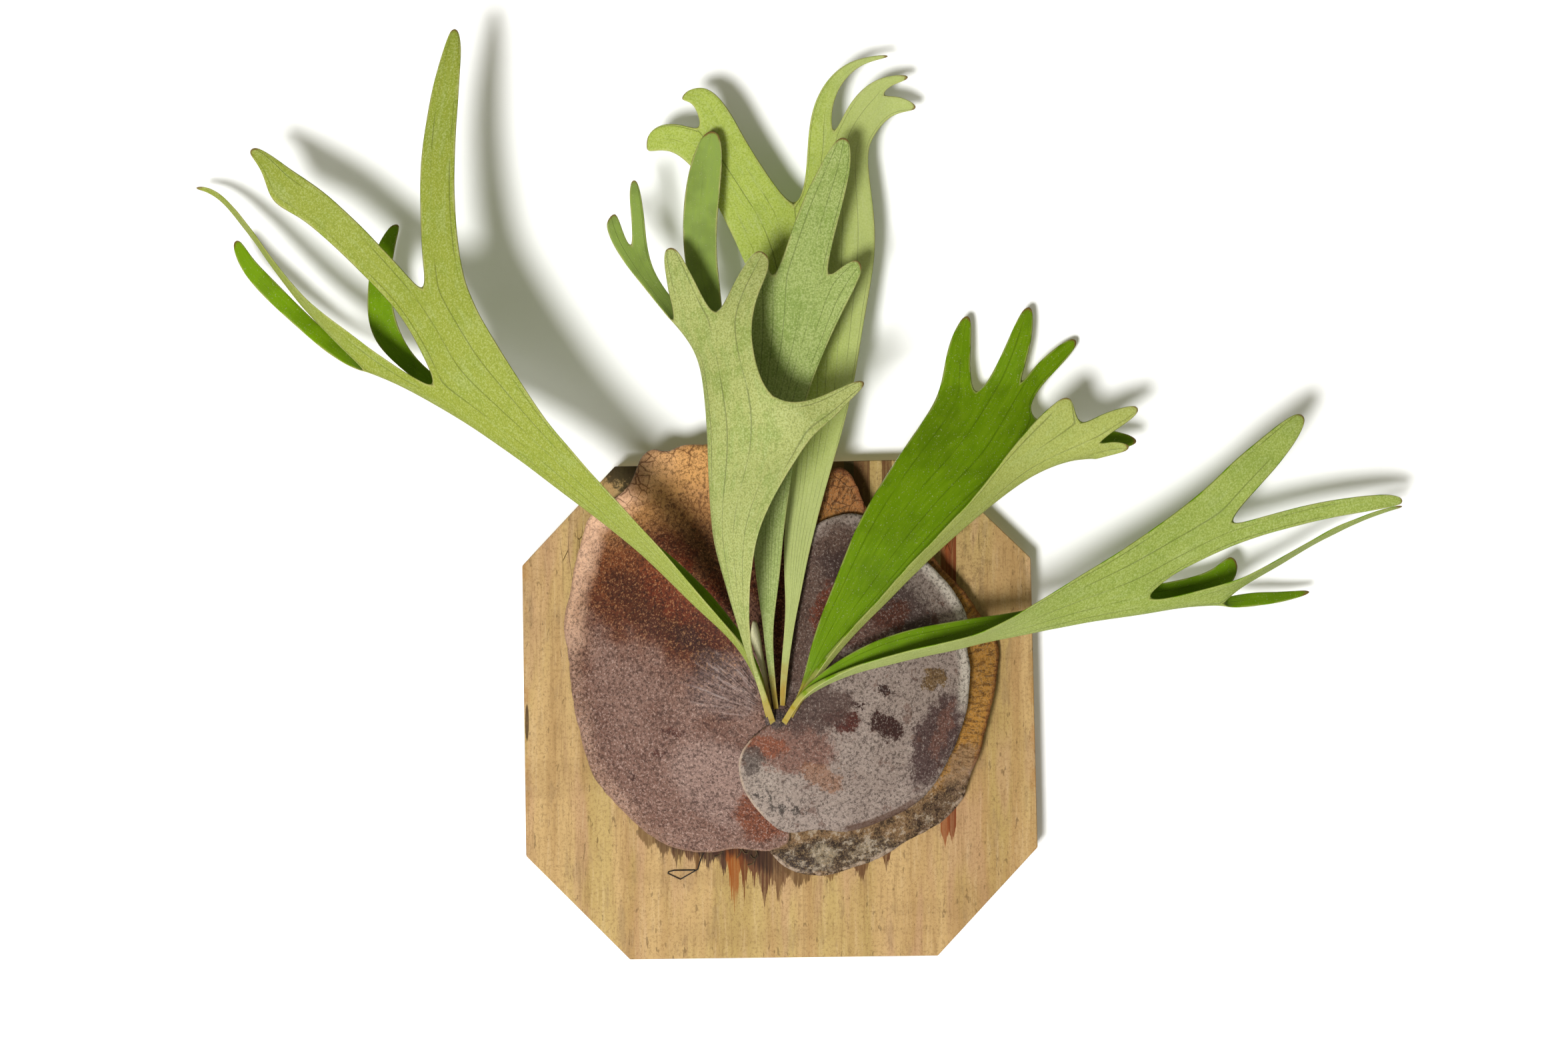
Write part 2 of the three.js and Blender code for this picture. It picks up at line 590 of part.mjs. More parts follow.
const oldShield = {
  layer: LAYER.old,
  ripples: 17,
  flare: (x, z) => 7 * smoothstep(z, 100, 140),
  outline: [
    [24, 134], [31, 141], [37, 143.5], [45.8, 131.2], [50.1, 117.2], [66.5, 105], [86, 93], [96.1, 80],
    [108.6, 68.1], [117.6, 53], [128.1, 38], [125.8, 13.8], [118.8, -18.1], [116.6, -27.5], [111, -38.8],
    [108.6, -48.9], [100.4, -60.6], [89.1, -69.6], [75.6, -75.5], [66.1, -82.1], [53.6, -89.1], [38.8, -93.8],
    [21.6, -97.7], [9.6, -95], [-0.2, -90.3], [-8, -81], [-30, -66],
  ],
};

const leftShield = {
  layer: LAYER.left,
  ripples: 14,
  flare: (x, z) => 13 * smoothstep(z, 98, 150) * smoothstep(-x, -5, 20),
  outline: [
    [11, 106], [4, 126], [-10, 142], [-24, 151], [-37, 157], [-47, 152.3], [-53.2, 156.4], [-60.6, 153.2],
    [-64.6, 149.2], [-70, 151.8], [-77, 153.2], [-82, 147], [-84.4, 138], [-87.6, 131.2], [-97, 122.6],
    [-112.4, 112.5], [-115.4, 98.9], [-119.5, 85.2], [-123, 63.4], [-126.4, 49.7], [-122.7, 27],
    [-121.1, 6.4], [-116, -16.6], [-110.6, -35.3], [-103.2, -47.8], [-80, -71], [-59.1, -82.1],
    [-37.2, -83.8], [-25.8, -80.9], [-5.7, -83.4], [6, -78],
  ],
};

const rightShield = {
  layer: LAYER.right,
  ripples: 11,
  flare: (x, z) => 4 * bump(x - 17, 5) * bump(z - 44, 18),
  outline: [
    [15, 98], [20.5, 107.4], [37.6, 114.2], [49, 113], [66.5, 102.8], [85.6, 86.4], [101.6, 69.2],
    [109.8, 52.1], [109, 34.5], [111.4, 25.2], [109, -2.1], [98.5, -29.4], [84.4, -51.3], [61.8, -64.9],
    [38.8, -72.3], [28, -70.4], [17, -70.8], [5.7, -72.7], [-3.3, -69], [-18.5, -52.1], [-23.4, -41],
    [-24.4, -32.2], [-22.8, -24.8], [-17.6, -17.4], [-11.4, -13.2],
  ],
};

// The moss and roots under the shields: the dome itself, down to the board.
function rootMass() {
  const vertices = [...overDome(BUD.x, BUD.z, -ROOTS.sink).toArray()];
  const faces = [];
  const { columns, rings } = ROOTS;
  const index = (ring, column) => 1 + ring * columns + (column % columns);
  for (let ring = 0; ring <= rings; ring += 1) {
    for (let column = 0; column < columns; column += 1) {
      const bearing = (column / columns) * 2 * Math.PI;
      const reach = (ROOTS.width * Math.min(ring + 1, rings)) / rings;
      const up = Math.sin(bearing);
      const x = reach * DOME.halfWidth * Math.cos(bearing);
      const z = BUD.z * (1 - reach) + DOME.centreZ * reach + reach * (up < 0 ? DOME.below : DOME.above) * up;
      const place = ring === rings ? at([x, z, GAP]) : overDome(x, z, -ROOTS.sink);
      vertices.push(...place.toArray());
      if (ring) {
        const [a, b] = [index(ring - 1, column), index(ring - 1, column + 1)];
        const [c, d] = [index(ring, column + 1), index(ring, column)];
        faces.push(a, d, c, a, c, b);
      } else {
        faces.push(0, index(0, column), index(0, column + 1));
      }
    }
  }
  vertices.push(...at([BUD.x, BUD.z, GAP]).toArray());
  for (let column = 0; column < columns; column += 1) {
    faces.push(vertices.length / 3 - 1, index(rings, column + 1), index(rings, column));
  }
  return geometryOf(vertices, faces);
}

// A round body about the bud's own line, from a profile of [radius, stand].
function turned(profile) {
  const points = profile.map(([radius, stand]) => new THREE.Vector2(radius, stand));
  const lathe = new THREE.LatheGeometry(points, BUD.sides);
  const { x, z } = at([BUD.x, BUD.z, BUD.top]);
  return lathe.rotateX(Math.PI).translate(x, -BOARD.thickness, z);
}

// ---- board and wire -------------------------------------------------------------------------------------

function board() {
  const corners = [
    [-96.5, 141.8], [86.4, 146.1], [146.8, 88.3], [150.9, -81.1],
    [92.5, -144.6], [-87.6, -146.8], [-148.4, -86.2], [-150.7, 83.7],
  ];
  const outline = new THREE.Shape(corners.map(([x, z]) => new THREE.Vector2(x, z)));
  const slab = new THREE.ExtrudeGeometry(outline, { depth: BOARD.thickness, bevelEnabled: false });
  return slab.rotateX(Math.PI / 2);
}

function tieWire() {
  const stand = WIRE.radius + GAP;
  const bends = [
    [-42.4, -80.6], [-44.2, -83.8], [-46.2, -87.9], [-48, -94], [-58.1, -99.8], [-65.4, -96.4],
    [-65.2, -95.5], [-61.8, -94.6], [-49.6, -94.4],
  ];
  const path = new THREE.CatmullRomCurve3(bends.map(([x, z]) => at([x, z, stand])), false, 'catmullrom', 0.2);
  const section = new THREE.Shape();
  section.absarc(0, 0, WIRE.radius, 0, 2 * Math.PI);
  return new THREE.ExtrudeGeometry(section, {
    steps: WIRE.steps,
    extrudePath: path,
    curveSegments: WIRE.sides / 2,
  });
}

// ---- the whole plant ------------------------------------------------------------------------------------

const fronds = [
  ['frond_left', leftFrond, colours.paleLeaf],
  ['frond_front', frontFrond, colours.sageLeaf],
  ['frond_middle', middleFrond, colours.sageLeaf],
  ['frond_back', backFrond, colours.paleLeaf],
  ['frond_right', rightFrond, colours.brightLeaf],
  ['frond_far_right', farRightFrond, colours.paleLeaf],
  ['young_frond', youngFrond, colours.sageLeaf],
];

addPiece('board', board(), colours.wood);
const [shoulder, drop] = BUD.bevel;
const pocket = turned([
  [0, BUD.floor - GAP], [BUD.radius + GAP, BUD.floor - GAP], [BUD.radius + GAP, 2 * BUD.top], [0, 2 * BUD.top],
]);
addPiece('root_ball', cut(rootMass(), [pocket]), colours.roots);
addPiece('old_shield', shieldOf(oldShield), colours.oldShield);
addPiece('left_shield', shieldOf(leftShield), colours.leftShield);
addPiece('right_shield', shieldOf(rightShield), colours.rightShield);
const crown = turned([
  [0, BUD.floor], [BUD.radius, BUD.floor], [BUD.radius, BUD.top - drop], [BUD.radius - shoulder, BUD.top - 1],
  [0, BUD.top],
]);
addPiece('crown', cut(crown, fronds.map(([, blade]) => socketOf(blade))), colours.crown);
fronds.forEach(([name, blade, colour]) => addPiece(name, thicken(sheetOf(blade)), colour));
addPiece('tie_wire', tieWire(), colours.wire);

export default group;
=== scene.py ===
"""Dresses the mounted staghorn fern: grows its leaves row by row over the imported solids, gives every piece
its finish, and sets it on a pale wall. Lengths are in metres, apart from the tables of rungs, outlines,
corners, bends, patches and drips, which are in millimetres."""
import math
from collections import namedtuple

import bmesh
import bpy
from bpy.props import FloatProperty, FloatVectorProperty, IntProperty, PointerProperty
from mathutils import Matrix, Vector, kdtree, noise


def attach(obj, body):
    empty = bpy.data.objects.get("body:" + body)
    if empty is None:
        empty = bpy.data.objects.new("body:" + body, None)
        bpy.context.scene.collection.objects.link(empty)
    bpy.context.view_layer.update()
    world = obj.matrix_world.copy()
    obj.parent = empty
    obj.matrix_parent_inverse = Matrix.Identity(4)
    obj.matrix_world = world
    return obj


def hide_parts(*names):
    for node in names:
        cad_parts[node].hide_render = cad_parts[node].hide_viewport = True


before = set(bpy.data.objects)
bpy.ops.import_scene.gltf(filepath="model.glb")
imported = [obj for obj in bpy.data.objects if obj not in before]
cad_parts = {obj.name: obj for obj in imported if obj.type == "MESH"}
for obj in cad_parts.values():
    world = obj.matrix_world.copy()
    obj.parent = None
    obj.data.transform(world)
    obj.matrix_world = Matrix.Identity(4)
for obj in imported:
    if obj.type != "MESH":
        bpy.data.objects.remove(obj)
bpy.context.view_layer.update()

bl_info = {
    "name": "Mounted Staghorn Fern",
    "version": (1, 0, 0),
    "blender": (4, 5, 0),
    "location": "3D View > Sidebar > Fern",
    "description": "Builds a staghorn fern tied to a wooden board, leaf by leaf",
    "category": "Add Mesh",
}

MM = 0.001
BOARD_THICKNESS = 18 * MM
VIEW = Vector((2.5, 0, 109)) * MM  # the line that somebody looking straight at the plant looks along
VIEW_DISTANCE = 1900 * MM  # from the board's front face
BUD = Vector((0, 0, -5.5)) * MM  # the middle of the crown, lined up on the board
STAGE_LIGHT = 1.33  # how much brighter than white paper the light makes a surface that faces it


def at(x, z, stand):
    """The place that lines up with (x, z) on the board's front face and stands that far off it."""
    near = (VIEW_DISTANCE - stand) / VIEW_DISTANCE
    return Vector((VIEW.x + (x - VIEW.x) * near, -(BOARD_THICKNESS + stand), VIEW.z + (z - VIEW.z) * near))


def smoothstep(value, low, high):
    share = min(1.0, max(0.0, (value - low) / (high - low)))
    return share * share * (3 - 2 * share)


def bump(offset, width):
    return math.exp(-0.5 * (offset / width) ** 2)


def waves(place, *layers):
    """Layers of noise, up and down. Each has its waves in a metre and its height in millimetres."""
    return sum(noise.noise(place * often) * height * MM for often, height in layers)


def mixed(first, second, share):
    return tuple(a + (b - a) * share for a, b in zip(first, second))


def dimmed(tint, share):
    return tuple(share * channel for channel in tint)


def linear(red, green, blue):
    """The paint that shows as that screen colour, 0 to 255, under the stage's light."""
    shown = (channel / 255 for channel in (red, green, blue))
    return tuple((c / 12.92 if c <= 0.04045 else ((c + 0.055) / 1.055) ** 2.4) / STAGE_LIGHT for c in shown)


# ---- what a user would change ---------------------------------------------------------------------------


def paint_colour(name, description, value):
    return FloatVectorProperty(
        name=name, description=description, default=value, subtype="COLOR", min=0, max=1)


def colour(name, description, screen):
    return paint_colour(name, description, linear(*screen))


def number(name, description, value, unit="NONE"):
    return FloatProperty(name=name, description=description, default=value, unit=unit)


class FernSizes(bpy.types.PropertyGroup):
    blade: number("Blade", "Thickness of a frond's blade", 0.9 * MM, "LENGTH")
    stalk: number("Stalk", "Thickness of a frond at its foot", 3.4 * MM, "LENGTH")
    stalk_length: number("Stalk length", "How far up the stalk thins into the blade", 75 * MM, "LENGTH")
    shield: number("Shield", "Thickness of a dry shield", 1.1 * MM, "LENGTH")
    worn_edge: number("Worn edge", "How far the board's edges are rubbed round", 0.9 * MM, "LENGTH")
    wire: number("Wire", "Radius of the tie wire", 0.35 * MM, "LENGTH")
    detail: IntProperty(
        name="Detail", description="Rounds of smoothing that a leaf gets", default=2, min=1, max=3)


class FernColours(bpy.types.PropertyGroup):
    green: colour("Green", "Fresh green that shows where the felt is thin", (112, 146, 30))
    felt: colour("Felt", "Fine pale hairs on the undersides", (200, 208, 146))
    stalk: colour("Stalk", "Ochre foot of a frond", (176, 140, 44))
    tip: colour("Tip", "Dry rim at the tips of the lobes", (120, 84, 40))
    rust: colour("Rust", "Red-brown of the left shield", (104, 54, 33))
    tan: colour("Tan", "Pale rims and lobes of the dry shields", (222, 166, 116))
    lilac: colour("Lilac", "Greyed lower half of the left shield", (138, 105, 92))
    silver: colour("Silver", "Bloom on the right shield", (162, 145, 135))
    ochre: colour("Ochre", "The old shield's rim", (158, 112, 56))
    wood: colour("Wood", "The board", (204, 170, 116))
    wood_dark: colour("Dark grain", "Darker lines in the board", (172, 134, 84))
    wall: paint_colour("Wall", "The wall and floor", (0.94, 0.94, 0.94))


class FernStage(bpy.types.PropertyGroup):
    lens: number("Lens", "Camera lens", 74.57, "CAMERA")
    key: number("Key light", "Power of the light from the lower left", 358, "POWER")
    back: number("Back light", "Power of the light behind the wall", 90, "POWER")
    air: number("Air light", "Strength of the light from all round", 0.26)


GROUPS = {"fern_sizes": FernSizes, "fern_colours": FernColours, "fern_stage": FernStage}


# ---- materials ------------------------------------------------------------------------------------------


class Wire:
    """One value in a material. Arithmetic on it adds Math nodes."""

    def __init__(self, paint, socket):
        self.paint, self.socket = paint, socket

    def __add__(self, other):
        return self.paint.maths("ADD", self, other)

    def __sub__(self, other):
        return self.paint.maths("SUBTRACT", self, other)

    def __rsub__(self, other):
        return self.paint.maths("SUBTRACT", other, self)

    def __mul__(self, other):
        return self.paint.maths("MULTIPLY", self, other)

    def __truediv__(self, other):
        return self.paint.maths("DIVIDE", self, other)

    def __pow__(self, other):
        return self.paint.maths("POWER", self, other)

    __radd__ = __add__


class Paint:
    """One material, built node by node: a ground colour, coats over it, and a finish."""

    SOCKETS = {"specular": "Specular IOR Level", "metallic": "Metallic"}

    def __init__(self, name, ground):
        self.material = bpy.data.materials.new(name)
        self.material.use_nodes = True
        self.tree = self.material.node_tree
        self.shader = self.tree.nodes["Principled BSDF"]
        self.tint = ground

    def node(self, kind, settings=None, values=None, output=0):
        """A node of that kind, its settings made first, then its sockets given their values or links."""
        made = self.tree.nodes.new(kind)
        for key, value in (settings or {}).items():
            setattr(made, key, value)
        self._feed(made, values or {})
        return Wire(self, made.outputs[output])

    def _feed(self, node, values):
        for key, value in values.items():
            socket = node.inputs[key]
            if isinstance(value, Wire):
                self.tree.links.new(value.socket, socket)
            elif socket.type == "RGBA":
                socket.default_value = (*value, 1)
            else:
                socket.default_value = value

    def maths(self, operation, *values):
        return self.node("ShaderNodeMath", {"operation": operation}, dict(enumerate(values)))

    def place(self):
        return self.node("ShaderNodeTexCoord", output="Object")

    def attribute(self, name):
        return self.node("ShaderNodeAttribute", {"attribute_name": name}, output="Fac")

    def parts(self, vector):
        made = self.node("ShaderNodeSeparateXYZ", None, {0: vector})
        return made, *(Wire(self, made.socket.node.outputs[axis]) for axis in (1, 2))

    def join(self, x, y, z):
        return self.node("ShaderNodeCombineXYZ", None, {0: x, 1: y, 2: z})

    def noise(self, where, scale, detail=2.0, roughness=0.5, distortion=0.0):
        return self.node("ShaderNodeTexNoise", None, {
            "Vector": where, "Scale": scale, "Detail": detail, "Roughness": roughness,
            "Distortion": distortion})

    def streaks(self, x, y, z, detail, roughness=0.5, scale=1):
        """Noise over a space whose axes are already stretched."""
        return self.noise(self.join(x, y, z), scale, detail, roughness)

    def seams(self, where, scale, width):
        """1 on the seams between scattered cells, falling to 0 at that share of a cell from them."""
        away = self.node("ShaderNodeTexVoronoi", {"feature": "DISTANCE_TO_EDGE"}, {
            "Vector": where, "Scale": scale}, output="Distance")
        return self.smooth(away, width, 0.0)

    def smooth(self, value, low, high):
        """0 below low, 1 above high, eased between. With low over high it falls instead."""
        if low > high:
            return 1 - self.smooth(value, high, low)
        return self.node("ShaderNodeMapRange", {"interpolation_type": "SMOOTHSTEP"}, {
            "Value": value, "From Min": low, "From Max": high})

    def mix(self, share, first, second):
        return self.node("ShaderNodeMix", {"data_type": "RGBA"}, {0: share, 6: first, 7: second}, output=2)

    def coat(self, share, tint):
        """Lays a tint over the colour so far, as much of it as share says."""
        self.tint = self.mix(share, self.tint, tint)

    def greater(self, first, second):
        return self.maths("MAXIMUM", first, second)

    def blot(self, x, z, centre, radii, soft=0.5, turn=0.0):
        """1 inside an ellipse on the board's plane, turned by that many degrees, and 0 at its edge."""
        across, up = x - centre[0] * MM, z - centre[1] * MM
        if turn:
            c, s = math.cos(math.radians(turn)), math.sin(math.radians(turn))
            across, up = across * c + up * s, up * c - across * s
        away = (across / (radii[0] * MM)) ** 2 + (up / (radii[1] * MM)) ** 2
        return self.smooth(away, 1, 1 - soft)

    def finish(self, roughness, height=None, depth=None, **constants):
        """Links the colour and roughness, bumps the surface by height, and sets whatever is constant."""
        values = {"Base Color": self.tint, "Roughness": roughness}
        if height:
            values["Normal"] = self.node("ShaderNodeBump", None, {
                "Height": height, "Distance": depth, "Strength": 1.0})
        values.update({self.SOCKETS[key]: value for key, value in constants.items()})
        self._feed(self.shader, values)
        return self.material


Colours = namedtuple("Colours", tuple(FernColours.__annotations__))


def colours():
    """The user's colours, each as three numbers."""
    look = bpy.context.scene.fern_colours
    return Colours(*(tuple(getattr(look, name)) for name in Colours._fields))


def along_the_leaf(paint):
    """How far along its blade a point is, and a vector for streaks that run with the veins."""
    across, along = paint.attribute("across"), paint.attribute("along")
    return along, paint.join(across * 0.9, along, 0.0)


VEINS_ACROSS = 9  # a whole blade


def veins(paint, flow):
    """Thin broken lines that run up the blade and part into its lobes."""
    track = paint.attribute("across") * VEINS_ACROSS + paint.noise(flow, 6, 1) * 0.5
    from_line = paint.maths("PINGPONG", track, 0.5)
    broken = paint.smooth(paint.noise(flow, 9, 3, 0.7), 0.4, 0.52)
    return paint.smooth(from_line, 0.055, 0.0) * broken


def stalk_and_tips(paint, place, along):
    """The ochre foot, a pale margin that is a painted highlight on the blade's edge, and the dry tips that
    both faces of a frond have.
    """
    look = colours()
    rim, tip = paint.attribute("rim"), paint.attribute("tip")
    foot = paint.smooth(along + paint.noise(place, 160) * 0.02, 52 * MM, 22 * MM)
    paint.coat(foot * 0.9, look.stalk)
    # Painted highlight: a pale line along the margin, where the blade's edge catches the light.
    edge = paint.smooth(rim, 1.1 * MM, 0.2 * MM)
    paint.coat(edge * 0.35, mixed(look.felt, look.stalk, 0.4))
    dry = paint.smooth(tip + paint.noise(place, 300) * 0.25, 0.92, 1.12)
    paint.coat(dry * paint.smooth(rim, 1.6 * MM, 0.4 * MM) * 0.85, look.tip)


def underside(name, base, mottle, painted_light_at_foot=0, pale_side=0):
    """The felted face: pale and matt, its green showing through in streaks along the veins. It can be paler
    at its foot, partly painted light that offsets the shade other fronds throw on it, and on its right."""
    look = colours()
    paint = Paint(name, base)
    place = paint.place()
    along, flow = along_the_leaf(paint)
    streak = paint.noise(flow, 42, 3)
    patch = paint.noise(place, 60, 5, 0.7)
    grain = paint.noise(place, 1000, 2, 0.7)
    bare = mixed(base, look.green, 0.6)
    paint.coat(paint.smooth(patch * 0.7 + streak * 0.4, 0.52, 0.66) * mottle, bare)
    paint.coat(paint.smooth(streak, 0.5, 0.68) * 0.3, mixed(base, look.felt, 0.6))
    paint.coat(paint.smooth(grain, 0.51, 0.63) * (0.2 + mottle * 0.4), look.felt)
    paint.coat(paint.smooth(grain, 0.49, 0.38) * (0.24 + mottle * 0.6), mixed(dimmed(base, 0.5), bare, 0.3))
    lines = veins(paint, flow)
    paint.coat(lines * 0.6, dimmed(base, 0.3))
    # Partly painted light: paler felt towards the foot, offsetting the shade that other fronds throw on it.
    paint.coat(paint.smooth(along, 200 * MM, 120 * MM) * painted_light_at_foot, look.felt)
    paint.coat(paint.smooth(paint.parts(place)[0], 12 * MM, 50 * MM) * pale_side, look.felt)
    stalk_and_tips(paint, place, along)
    height = grain * 0.35 + streak * 0.5 - lines * 0.6
    return paint.finish(0.66 - streak * 0.1, height, 0.25 * MM, specular=0.25)


def upper_face(name, base):
    """The living green face: satin, with thin dark veins and tiny pale hairs."""
    paint = Paint(name, base)
    place = paint.place()
    along, flow = along_the_leaf(paint)
    streak = paint.noise(flow, 60, 3, 0.6)
    patch = paint.noise(place, 55, 3)
    bright = mixed(base, linear(158, 186, 42), 0.3)
    paint.coat(paint.smooth(streak, 0.38, 0.7) * 0.6, bright)
    paint.coat(paint.smooth(patch, 0.42, 0.66) * 0.42, dimmed(base, 0.55))
    lines = veins(paint, flow)
    paint.coat(lines * 0.45, dimmed(base, 0.35))
    specks = paint.smooth(paint.noise(place, 1100, 1, 0.5), 0.64, 0.72)
    paint.coat(specks * 0.3, colours().felt)
    stalk_and_tips(paint, place, along)
    height = specks * 0.6 + streak * 0.4 - lines * 0.7
    return paint.finish(0.45 + specks * 0.3 + patch * 0.1, height, 0.2 * MM, specular=0.12)


def net_of_veins(paint, place, scale):
    """A network of fine raised veins, as on a dry leaf."""
    drift = paint.node("ShaderNodeTexNoise", None, {"Vector": place, "Scale": scale * 0.7}, output="Color")
    drift = paint.node("ShaderNodeVectorMath", {"operation": "SCALE"}, {0: drift, "Scale": 6 * MM})
    bent = paint.node("ShaderNodeVectorMath", {"operation": "ADD"}, {0: place, 1: drift})
    return paint.seams(bent, scale, 0.07)


DrySkin = namedtuple("DrySkin", "place x z grit dots blotch fan rim")


def dry_skin(paint):
    """What all dry shields share: the place, its x and z shaken so that patches fray, grit, scattered dots,
    blotches, lines that fan out from the bud, and the distance to the free margin."""
    place = paint.place()
    x, _, z = paint.parts(place)
    fray = 26 * MM
    x = x + (paint.noise(place, 130, 5, 0.85) - 0.5) * fray
    z = z + (paint.noise(place, 105, 5, 0.85) - 0.5) * fray
    grit = paint.noise(place, 560, 4, 0.85)
    dots = paint.smooth(paint.noise(place, 900, 2, 0.7), 0.53, 0.6)
    blotch = paint.noise(place, 34, 4, 0.6)
    fan = paint.streaks(paint.attribute("across") * 3, paint.attribute("along") * 2.5, 0, 3, 0.6, scale=22)
    rim = paint.attribute("rim") + paint.smooth(paint.attribute("tip"), 0.75, 0.5)
    return DrySkin(place, x, z, grit, dots, blotch, fan, rim)


def patches(paint, skin, table):
    """Lays patches of colour. Each is a centre and radii in millimetres, a turn in degrees, a screen colour
    and a strength."""
    for centre, radii, turn, tint, strength in table:
        paint.coat(paint.blot(skin.x, skin.z, centre, radii, turn=turn) * strength, linear(*tint))


LEFT_PATCHES = [
    ((-84, 74), (50, 20), -28, (128, 70, 36), 0.75),
    ((-66, 56), (48, 16), -32, (72, 32, 18), 0.8),
    # Painted shade: a dark brown line along the fold's crease.
    ((-56, 106), (30, 5), -48, (104, 70, 44), 0.9),
    ((-56, 72), (30, 20), -34, (122, 50, 22), 0.6),
    ((-36, 44), (24, 9), -44, (96, 42, 24), 0.6),
    ((-40, 92), (9, 26), -28, (120, 82, 52), 0.6),
    ((-28, -44), (44, 26), -30, (180, 154, 144), 0.34),
    ((-10, -60), (19, 17), -10, (122, 60, 28), 0.9),
    ((-60, -12), (8, 1.6), -8, (74, 30, 18), 0.9),
    ((-70, -25), (5, 1.6), -5, (74, 30, 18), 0.9),
    ((-86, -38), (2.4, 2.4), 0, (56, 24, 16), 0.9),
    # A greyish patch in the valley above the crown, painted paler to offset the shade of the stalks over it.
    ((-14, 38), (12, 34), 10, (140, 100, 84), 0.8),
    ((-44, 34), (26, 7), -42, (62, 38, 34), 0.6),
]
RIGHT_PATCHES = [
    ((24, 60), (27, 60), -18, (88, 62, 50), 0.9),
    ((28, 64), (7, 20), -25, (110, 46, 20), 0.8),
    ((60, 66), (50, 18), -36, (66, 48, 44), 0.9),
    ((80, 74), (26, 7), -48, (124, 110, 100), 0.6),
    ((56, 50), (26, 8), 32, (86, 42, 24), 0.8),
    ((90, -16), (34, 14), 68, (74, 52, 50), 0.95),
    ((94, -10), (20, 5), 70, (120, 80, 66), 0.6),
    ((90, 19), (7.5, 6.5), 30, (112, 84, 44), 0.9),
    ((35, -4), (14, 8), -15, (78, 30, 18), 1),
    ((61, -8), (12, 9), -40, (52, 22, 16), 1),
    ((61, 13), (5, 3), 0, (46, 22, 18), 1),
    ((44, 4), (3.4, 2), 0, (52, 26, 22), 1),
    ((3, -18), (34, 17), -10, (122, 82, 68), 0.9),
    ((-7, -19), (13, 8), -10, (136, 70, 38), 0.8),
    ((24, -36), (15, 7), -28, (142, 96, 66), 0.7),
    ((-15, -27), (8, 10), 0, (76, 64, 58), 0.8),
    ((20, 2), (26, 15), 10, (80, 56, 49), 0.9),
]
OLD_PATCHES = [
    ((106, -34), (10, 20), -20, (152, 124, 98), 0.7),
    ((92, -58), (22, 9), 40, (88, 68, 54), 0.8),
    ((34, -84), (48, 12), 4, (74, 62, 52), 0.9),
    ((26, -84), (10, 6), 0, (152, 138, 116), 0.75),
    ((46, -80), (7, 4), 20, (146, 130, 108), 0.7),
    ((10, -90), (16, 6), -10, (66, 56, 52), 0.8),
]


def left_shield_skin():
    look = colours()
    paint = Paint("dry_left_shield", look.rust)
    skin = dry_skin(paint)
    low = paint.smooth(skin.z + skin.x * 0.39 + skin.blotch * 0.11, 0.077, 0.028)
    paint.coat(low, look.lilac)
    paint.coat(paint.smooth(skin.blotch, 0.42, 0.62) * 0.4, mixed(look.rust, linear(66, 34, 22), 0.5))
    patches(paint, skin, LEFT_PATCHES)
    top = paint.smooth(skin.z - skin.x * 0.15 + skin.blotch * 0.04, 0.122, 0.166)
    paint.coat(top * 0.9, mixed(look.tan, linear(255, 192, 110), 0.7))
    edge = paint.smooth(skin.rim + (skin.blotch - 0.5) * 0.03, 0.017, 0.004)
    edge = edge * paint.smooth(skin.x, -0.05, -0.1)
    high = paint.smooth(skin.z, 0.02, 0.06)
    paint.coat(edge * (0.2 + high * 0.65), mixed(look.tan, linear(255, 216, 190), 0.6))
    # The glossy patch near the crown: smoother and more wrinkled, and painted paler there as a sheen.
    gloss_and_painted_sheen = paint.blot(skin.x, skin.z, (-30, 16), (30, 24), 0.9)
    paint.coat(gloss_and_painted_sheen * 0.6, linear(150, 128, 122))
    bare = 1 - top * 0.35 - edge * high * 0.4
    dark = paint.smooth(skin.grit, 0.54, 0.4) * bare
    paint.coat(dark * (0.85 - low * 0.1), linear(44, 20, 13))
    pale = skin.dots * paint.smooth(skin.grit, 0.42, 0.56)
    paint.coat(pale * (0.42 + low * 0.1) * bare, paint.mix(low, look.tan, linear(206, 178, 166)))
    paint.coat(paint.smooth(skin.grit, 0.5, 0.38) * top * 0.35, linear(118, 72, 38))
    paint.coat(paint.smooth(skin.blotch, 0.4, 0.64) * top * 0.4, linear(140, 86, 42))
    net = net_of_veins(paint, skin.place, 150) * top * paint.smooth(skin.blotch, 0.3, 0.55)
    paint.coat(net * 0.8, linear(92, 52, 28))
    # Painted shade in the grooves of the glossy wrinkles, and painted highlights on their ridges.
    paint.coat(paint.smooth(skin.fan, 0.5, 0.38) * gloss_and_painted_sheen * 0.6, linear(58, 40, 38))
    paint.coat(paint.smooth(skin.fan, 0.5, 0.7) * gloss_and_painted_sheen * 0.42, linear(196, 180, 176))
    # Painted highlight: a pale line along the curled free margin.
    paint.coat(paint.smooth(skin.rim, 0.0016, 0.0004) * 0.35, linear(188, 150, 122))
    height = skin.grit * 0.8 + skin.dots * 0.2 + skin.fan * (0.5 + gloss_and_painted_sheen * 2.6) + net * 0.6
    return paint.finish(0.62 - low * 0.05 - gloss_and_painted_sheen * 0.22, height, 0.45 * MM, specular=0.18)


